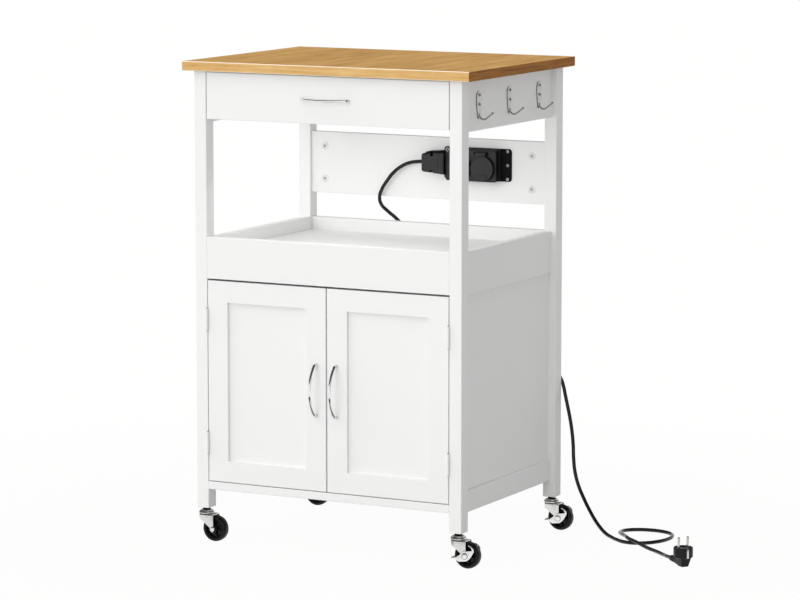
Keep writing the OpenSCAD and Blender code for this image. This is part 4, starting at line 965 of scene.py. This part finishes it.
def make_fork(tag):
    """Pressed fork: a folded U of sheet, trimmed to its plan and its side view."""
    x, y = at_corner(tag)
    braked = tag in BRAKED
    r_out, r_in = 3.2, 1.2
    u = [(-FORK_OUT, 10.0)] + arc(-FORK_OUT + r_out, FORK_TOP - r_out, r_out, 180, 90, 8)
    u += arc(FORK_OUT - r_out, FORK_TOP - r_out, r_out, 90, 0, 8) + [(FORK_OUT, 10.0)]
    u += [(FORK_IN, 10.0)] + arc(FORK_IN - r_in, FORK_UNDER - r_in, r_in, 0, 90, 6)
    u += arc(-FORK_IN + r_in, FORK_UNDER - r_in, r_in, 90, 180, 6) + [(-FORK_IN, 10.0)]
    sheet = prism(f"fork_{tag}", [(y + a, b) for a, b in u], "x", x - 20, x + 30)
    eye = 6.2
    side = arc(TRAIL, WHEEL_R, eye, -90, 0, 10)
    side += [(TRAIL + 4.7, WHEEL_R + eye), (TRAIL + 1, 54.0), (-9.5, 54.0), (-9.5, 45.6)]
    side += [(-8.6, 44.2), (4.0, 34.4), (11.0, 29.0)] + arc(TRAIL, WHEEL_R, eye, 165, 270, 10)[:-1]
    combined(sheet, prism("side", [(x + a, b) for a, b in side], "y", y - 20, y + 20), "INTERSECT")
    plan = arc(0, 0, CAP_R, 60, 300, 36) + [(TRAIL + 1, -14.0), (TRAIL + 1, 14.0)]
    combined(sheet, prism("plan", [(x + a, y + b) for a, b in plan], "z", 0, 60), "INTERSECT")
    cut(sheet, drum("bore", 4.05, 45, 60, "z", (x, y, 0), 32))
    bevelled(sheet, 0.3, 2, 40)
    rivet_y = (BRAKE_OUT if braked else FORK_OUT) + 0.2
    axle = (x + TRAIL, y, WHEEL_R)
    parts = [sheet, drum("rivet", AXLE_R, -rivet_y - 1, rivet_y + 1, "y", axle, 24)]
    share = 1.0 if braked else 0.74

    def both_ends(name, profile):
        """The profile turned at both ends of the rivet; the unbraked fork has smaller ones."""
        return joined(f"{name}_{tag}", [
            lathe(name, [(r * share, s * (rivet_y + t)) for r, t in profile], "y", axle, 40) for s in (-1, 1)
        ])

    head = [(0, 0), (5.2, 0), (5.3, 0.3), (4.9, 0.8), (3.8, 1.3), (2.1, 1.58), (0, 1.65)]
    # Painted shade: a thin dark ring under each axle head, for the shadow in the groove round it
    shade_ring = [(0, -0.15), (6.0, -0.15), (6.1, 0.2), (0, 0.3)]
    body = f"{tag}_fork"
    piece(joined(f"fork_sheet_{tag}", parts), ZINC, body, "zinc", f"fork_{tag}", smooth=40)
    piece(both_ends("axle_heads", head), BRIGHT_ZINC, body, "zinc")
    piece(both_ends("axle_shade_rings", shade_ring), DARK_STEEL, body, "zinc")


def make_wheel(tag):
    x, y = at_corner(tag)
    x += TRAIL
    tyre = [
        (18.2, -6.2), (18.4, -7.4), (19.2, -8.2), (20.4, -8.5), (22.4, -8.0), (24.1, -6.4),
        (24.8, -4.4), (25.0, -2.2), (25.0, -0.4), (24.7, -0.2), (24.7, 0.2), (25.0, 0.4),
    ]
    tyre += [(r, -t) for r, t in reversed(tyre[:8])]
    tyre += [(18.0, 6.0), (18.0, -6.0), tyre[0]]
    rim = [
        (3.1, -HUB_HALF), (6.2, -HUB_HALF), (6.9, -HUB_HALF + 0.7), (7.2, -3.6), (8.2, -2.2),
        (15.2, -2.0), (16.4, -3.4), (16.6, -7.0), (17.0, -8.0), (17.7, -8.2), (18.15, -7.6),
        (18.2, -6.2),
    ]
    rim += [(r, -t) for r, t in reversed(rim)] + [rim[0]]
    parts = [lathe("tyre", tyre, "y", (x, y, WHEEL_R), 96), lathe("rim", rim, "y", (x, y, WHEEL_R), 96)]
    for k in range(6):
        rib = bevelled(slab("rib", (6.4, 17.0), (-6.4, 6.4), (-0.9, 0.9)), 0.3, 1)
        parts.append(moved(rib, translation((x, y, WHEEL_R)) @ rotation(60 * k + 14, "Y")))
    wheel = joined(f"wheel_tyre_{tag}", parts)
    piece(wheel, WHEEL_BLACK, f"{tag}_wheel", "wheel_black", f"wheel_{tag}", smooth=42)


def brake_outline():
    """Brake lever's cheek about the axle: a ring, an arm with a thin horn, and a tail to the pedal."""
    ring = 9.6
    pts = [(-28.0, -6.0), (-20.5, -6.4), (-12.3, -11.2)] + arc(0, 0, ring, -84, -40, 6)
    pts += [(8.5, -5.5), (13.0, -0.6), (18.6, 9.5), (18.5, 11.5), (17.5, 14.5), (13.5, 18.2)]
    pts += [(7.6, 21.0), (7.0, 19.6), (12.6, 17.0), (15.3, 11.4), (6.7, 10.0)]
    pts += arc(0, 0, ring, 75, 163, 12)
    return pts + [(-16.5, -2.5), (-20.0, -4.3), (-28.0, -4.5)]


def make_brake(tag):
    """Brake lever: two cheeks about the axle, joined by the pedal."""
    x, y = at_corner(tag)
    x += TRAIL
    parts = []
    for s in (-1, 1):
        lo, hi = sorted((y + s * BRAKE_IN, y + s * BRAKE_OUT))
        plate = prism("plate", [(x + a, WHEEL_R + b) for a, b in brake_outline()], "y", lo, hi)
        cut(plate, drum("bore", 3.05, -20, 20, "y", (x, y, WHEEL_R), 32))
        parts.append(bevelled(plate, 0.45, 3, 40))
    pedal_z = (WHEEL_R - 6.0, WHEEL_R - 4.5)
    for across, half in (((x - 28.5, x - 25.5), BRAKE_OUT), ((x - 30.5, x - 27.5), 7)):
        parts.append(bevelled(slab("pedal", across, (y - half, y + half), pedal_z), 0.4, 2))
    lever = joined(f"brake_lever_{tag}", parts)
    piece(lever, BRIGHT_ZINC, f"{tag}_brake", "zinc", f"brake_{tag}", smooth=40)


make_stems()
for corner in CORNERS:
    make_fork(corner)
    make_wheel(corner)
for corner in BRAKED:
    make_brake(corner)


# ---------------- hinge pins
def make_hinge_pins(side, s):
    heads = []
    for z in HINGE_Z:
        for up in (-1, 1):
            profile = [(0, 0), (1.9, 0), (1.9, up * 0.35), (1.2, up * 0.8), (0, up * 0.95)]
            heads.append(lathe("head", profile, "z", (s * HINGE_X, HINGE_Y, z + up * HINGE_HALF), 20))
    piece(joined(f"hinge_pin_heads_{side}", heads), DARK_STEEL, f"{side}_door", "zinc")


make_hinge_pins("left", -1)
make_hinge_pins("right", 1)


# ---------------- light, floor and background
# Suns: azimuth, elevation and spread in degrees, and strength
SUNS = {"front": (-8, 10, 35, 0.225), "top": (-20, 65, 50, 0.16), "left": (-75, 25, 40, 0.24)}
# Soft lamp in the open bay: place and size in metres, tilt in degrees, and power in watts
FILL_AT, FILL_SIZE, FILL_TILT, FILL_POWER = (0, -0.13, 0.752), (0.40, 0.20), 38, 0.30
# Light of the world, and which way it grows
TENT, TENT_LEAN = 0.735, (-0.145, -0.24, 0.10)
# What metal sees of the world, from low to high; how far the white climbs to the right; where the dark begins
WALL = [
    (0.0, (1.0, 1.0, 0.996)), (0.20, (1.0, 1.0, 0.996)),
    (0.30, (0.05, 0.05, 0.05)), (1.0, (0.10, 0.10, 0.10)),
]
WALL_LEAN, WALL_TURN = 0.3, 0.46
FAR_RIGHT, FAR_RIGHT_RISE = 0.72, 2.2
FLOOR_R, FLOOR_TONE, FLOOR_GLOW = 3.5, (0.60, 0.60, 0.597), 0.96
GLOW_NEAR, GLOW_FAR = 0.4, 1.8
# Dark floor that only metal sees: tone, the strip's direction, middle and edges, and the patch's limits
FLOOR_DARK = (0.04, 0.04, 0.04)
DARK_ACROSS, DARK_MIDDLE, DARK_IN, DARK_OUT = (0.88, -0.46, 0), 0.115, 0.13, 0.17
DARK_BACK_Y, DARK_NEAR_Y, DARK_REACH = -0.22, -0.60, 0.98


class Stage(Tree):
    """Node tree of the world or of a backdrop material."""

    def __init__(self, owner, output):
        owner.use_nodes = True
        self.nt = owner.node_tree
        self.nt.nodes.clear()
        self.out = self.add(output)
        self.co = self.add("ShaderNodeTexCoord").outputs["Generated"]

    def seen(self, gloss_share=1.0):
        """Share of rays that show the background: from the camera, off metal or gloss, or through glass."""
        path = self.add("ShaderNodeLightPath")
        gloss = self.math("MAXIMUM", path.outputs["Is Glossy Ray"], path.outputs["Is Transmission Ray"])
        return self.math("MAXIMUM", path.outputs["Is Camera Ray"], self.math("MULTIPLY", gloss, gloss_share))

    def spread(self, distance, near, far, low):
        """Rises smoothly from low to 1 between two distances."""
        node = self.add("ShaderNodeMapRange", interpolation_type="SMOOTHSTEP")
        self.join(distance, node.inputs["Value"])
        for key, value in (("From Min", near), ("From Max", far), ("To Min", low), ("To Max", 1.0)):
            node.inputs[key].default_value = value
        return node.outputs["Result"]

    def finish(self, fac, a, b):
        mix = self.add("ShaderNodeMixShader")
        self.join(fac, mix.inputs[0])
        self.join(a.outputs[0], mix.inputs[1])
        self.join(b.outputs[0], mix.inputs[2])
        self.join(mix.outputs[0], self.out.inputs[0])


def make_world():
    world = bpy.data.worlds.new("studio")
    bpy.context.scene.world = world
    t = Stage(world, "ShaderNodeOutputWorld")
    # Lights the object like a pale tent: brighter in front and above, dimmer on the right
    tent = t.add("ShaderNodeBackground")
    t.join(t.math("ADD", t.dot(t.co, TENT_LEAN), TENT), tent.inputs["Strength"])
    # The camera sees it as white; metal sees dark above a low height, so that it has something dark to show;
    # the white reaches higher towards the right, and the far right is dark
    right, _, up = t.parts(t.co)
    height = t.math("SUBTRACT", up, t.math("MULTIPLY", right, WALL_LEAN))
    height = t.math("SUBTRACT", height, WALL_TURN * WALL_LEAN)
    far_right = t.math("MULTIPLY", t.math("SUBTRACT", right, FAR_RIGHT), FAR_RIGHT_RISE)
    metal_sees = t.ramp(t.math("MAXIMUM", height, far_right), WALL)
    camera = t.add("ShaderNodeLightPath").outputs["Is Camera Ray"]
    white = t.add("ShaderNodeBackground")
    t.join(t.mix(camera, metal_sees, WALL[0][1]), white.inputs["Color"])
    t.finish(t.seen(), tent, white)


def make_floor():
    bm = bmesh.new()
    bmesh.ops.create_circle(bm, cap_ends=True, radius=FLOOR_R, segments=96)
    floor = from_bmesh("floor", bm)
    mat = bpy.data.materials.new("floor_pale")
    floor.data.materials.append(mat)
    t = Stage(mat, "ShaderNodeOutputMaterial")
    where = t.add("ShaderNodeTexCoord").outputs["Object"]
    length = t.add("ShaderNodeVectorMath", operation="LENGTH")
    t.join(where, length.inputs[0])
    distance = length.outputs["Value"]
    # Bright metal shows a dark patch of floor in front, so that a white bow stands out on a white door:
    # a strip that runs out from the doors, and all of the floor further out in front, up to about 1 m
    off = t.math("ABSOLUTE", t.math("SUBTRACT", t.dot(where, DARK_ACROSS), DARK_MIDDLE))
    y = t.parts(where)[1]
    behind = t.math("GREATER_THAN", y, DARK_BACK_Y)
    beyond = t.math("GREATER_THAN", distance, DARK_REACH)
    near = t.math("GREATER_THAN", y, DARK_NEAR_Y)
    clear = t.math("MINIMUM", t.spread(off, DARK_IN, DARK_OUT, 0.0), near)
    clear = t.math("MAXIMUM", clear, t.math("MAXIMUM", behind, beyond))
    # Near the object the floor keeps some of its shadow; far out it is as white as the wall
    share = t.math("MULTIPLY", t.seen(clear), t.spread(distance, GLOW_NEAR, GLOW_FAR, FLOOR_GLOW))
    flat = t.add("ShaderNodeBsdfDiffuse")
    gloss = t.add("ShaderNodeLightPath").outputs["Is Glossy Ray"]
    t.join(t.mix(gloss, FLOOR_TONE, FLOOR_DARK), flat.inputs["Color"])
    glow = t.add("ShaderNodeEmission")
    glow.inputs["Color"].default_value = (1.0, 1.0, 0.996, 1)
    t.finish(share, flat, glow)


def make_sun(name, azimuth, elevation, spread, strength):
    """Soft far light; azimuth 0 comes from the front, and turns positive to the right."""
    data = bpy.data.lights.new(name, "SUN")
    data.angle = math.radians(spread)
    data.energy = strength * math.pi
    ob = new_object(name, data)
    az, el = math.radians(azimuth), math.radians(elevation)
    source = Vector((math.sin(az) * math.cos(el), -math.cos(az) * math.cos(el), math.sin(el)))
    ob.rotation_euler = (-source).to_track_quat("-Z", "Y").to_euler()
    ob.visible_glossy = False


def make_fill():
    """Soft lamp in the open bay, just under the drawer, aimed down and to the back."""
    data = bpy.data.lights.new("bay_fill", "AREA")
    data.shape = "RECTANGLE"
    data.size, data.size_y = FILL_SIZE
    data.energy = FILL_POWER
    ob = new_object("bay_fill", data)
    ob.location = FILL_AT
    ob.rotation_euler = (math.radians(FILL_TILT), 0, 0)
    ob.visible_camera = ob.visible_glossy = False


bpy.context.scene.view_settings.view_transform = "Standard"
make_world()
make_floor()
for name, numbers in SUNS.items():
    make_sun(name, *numbers)
make_fill()
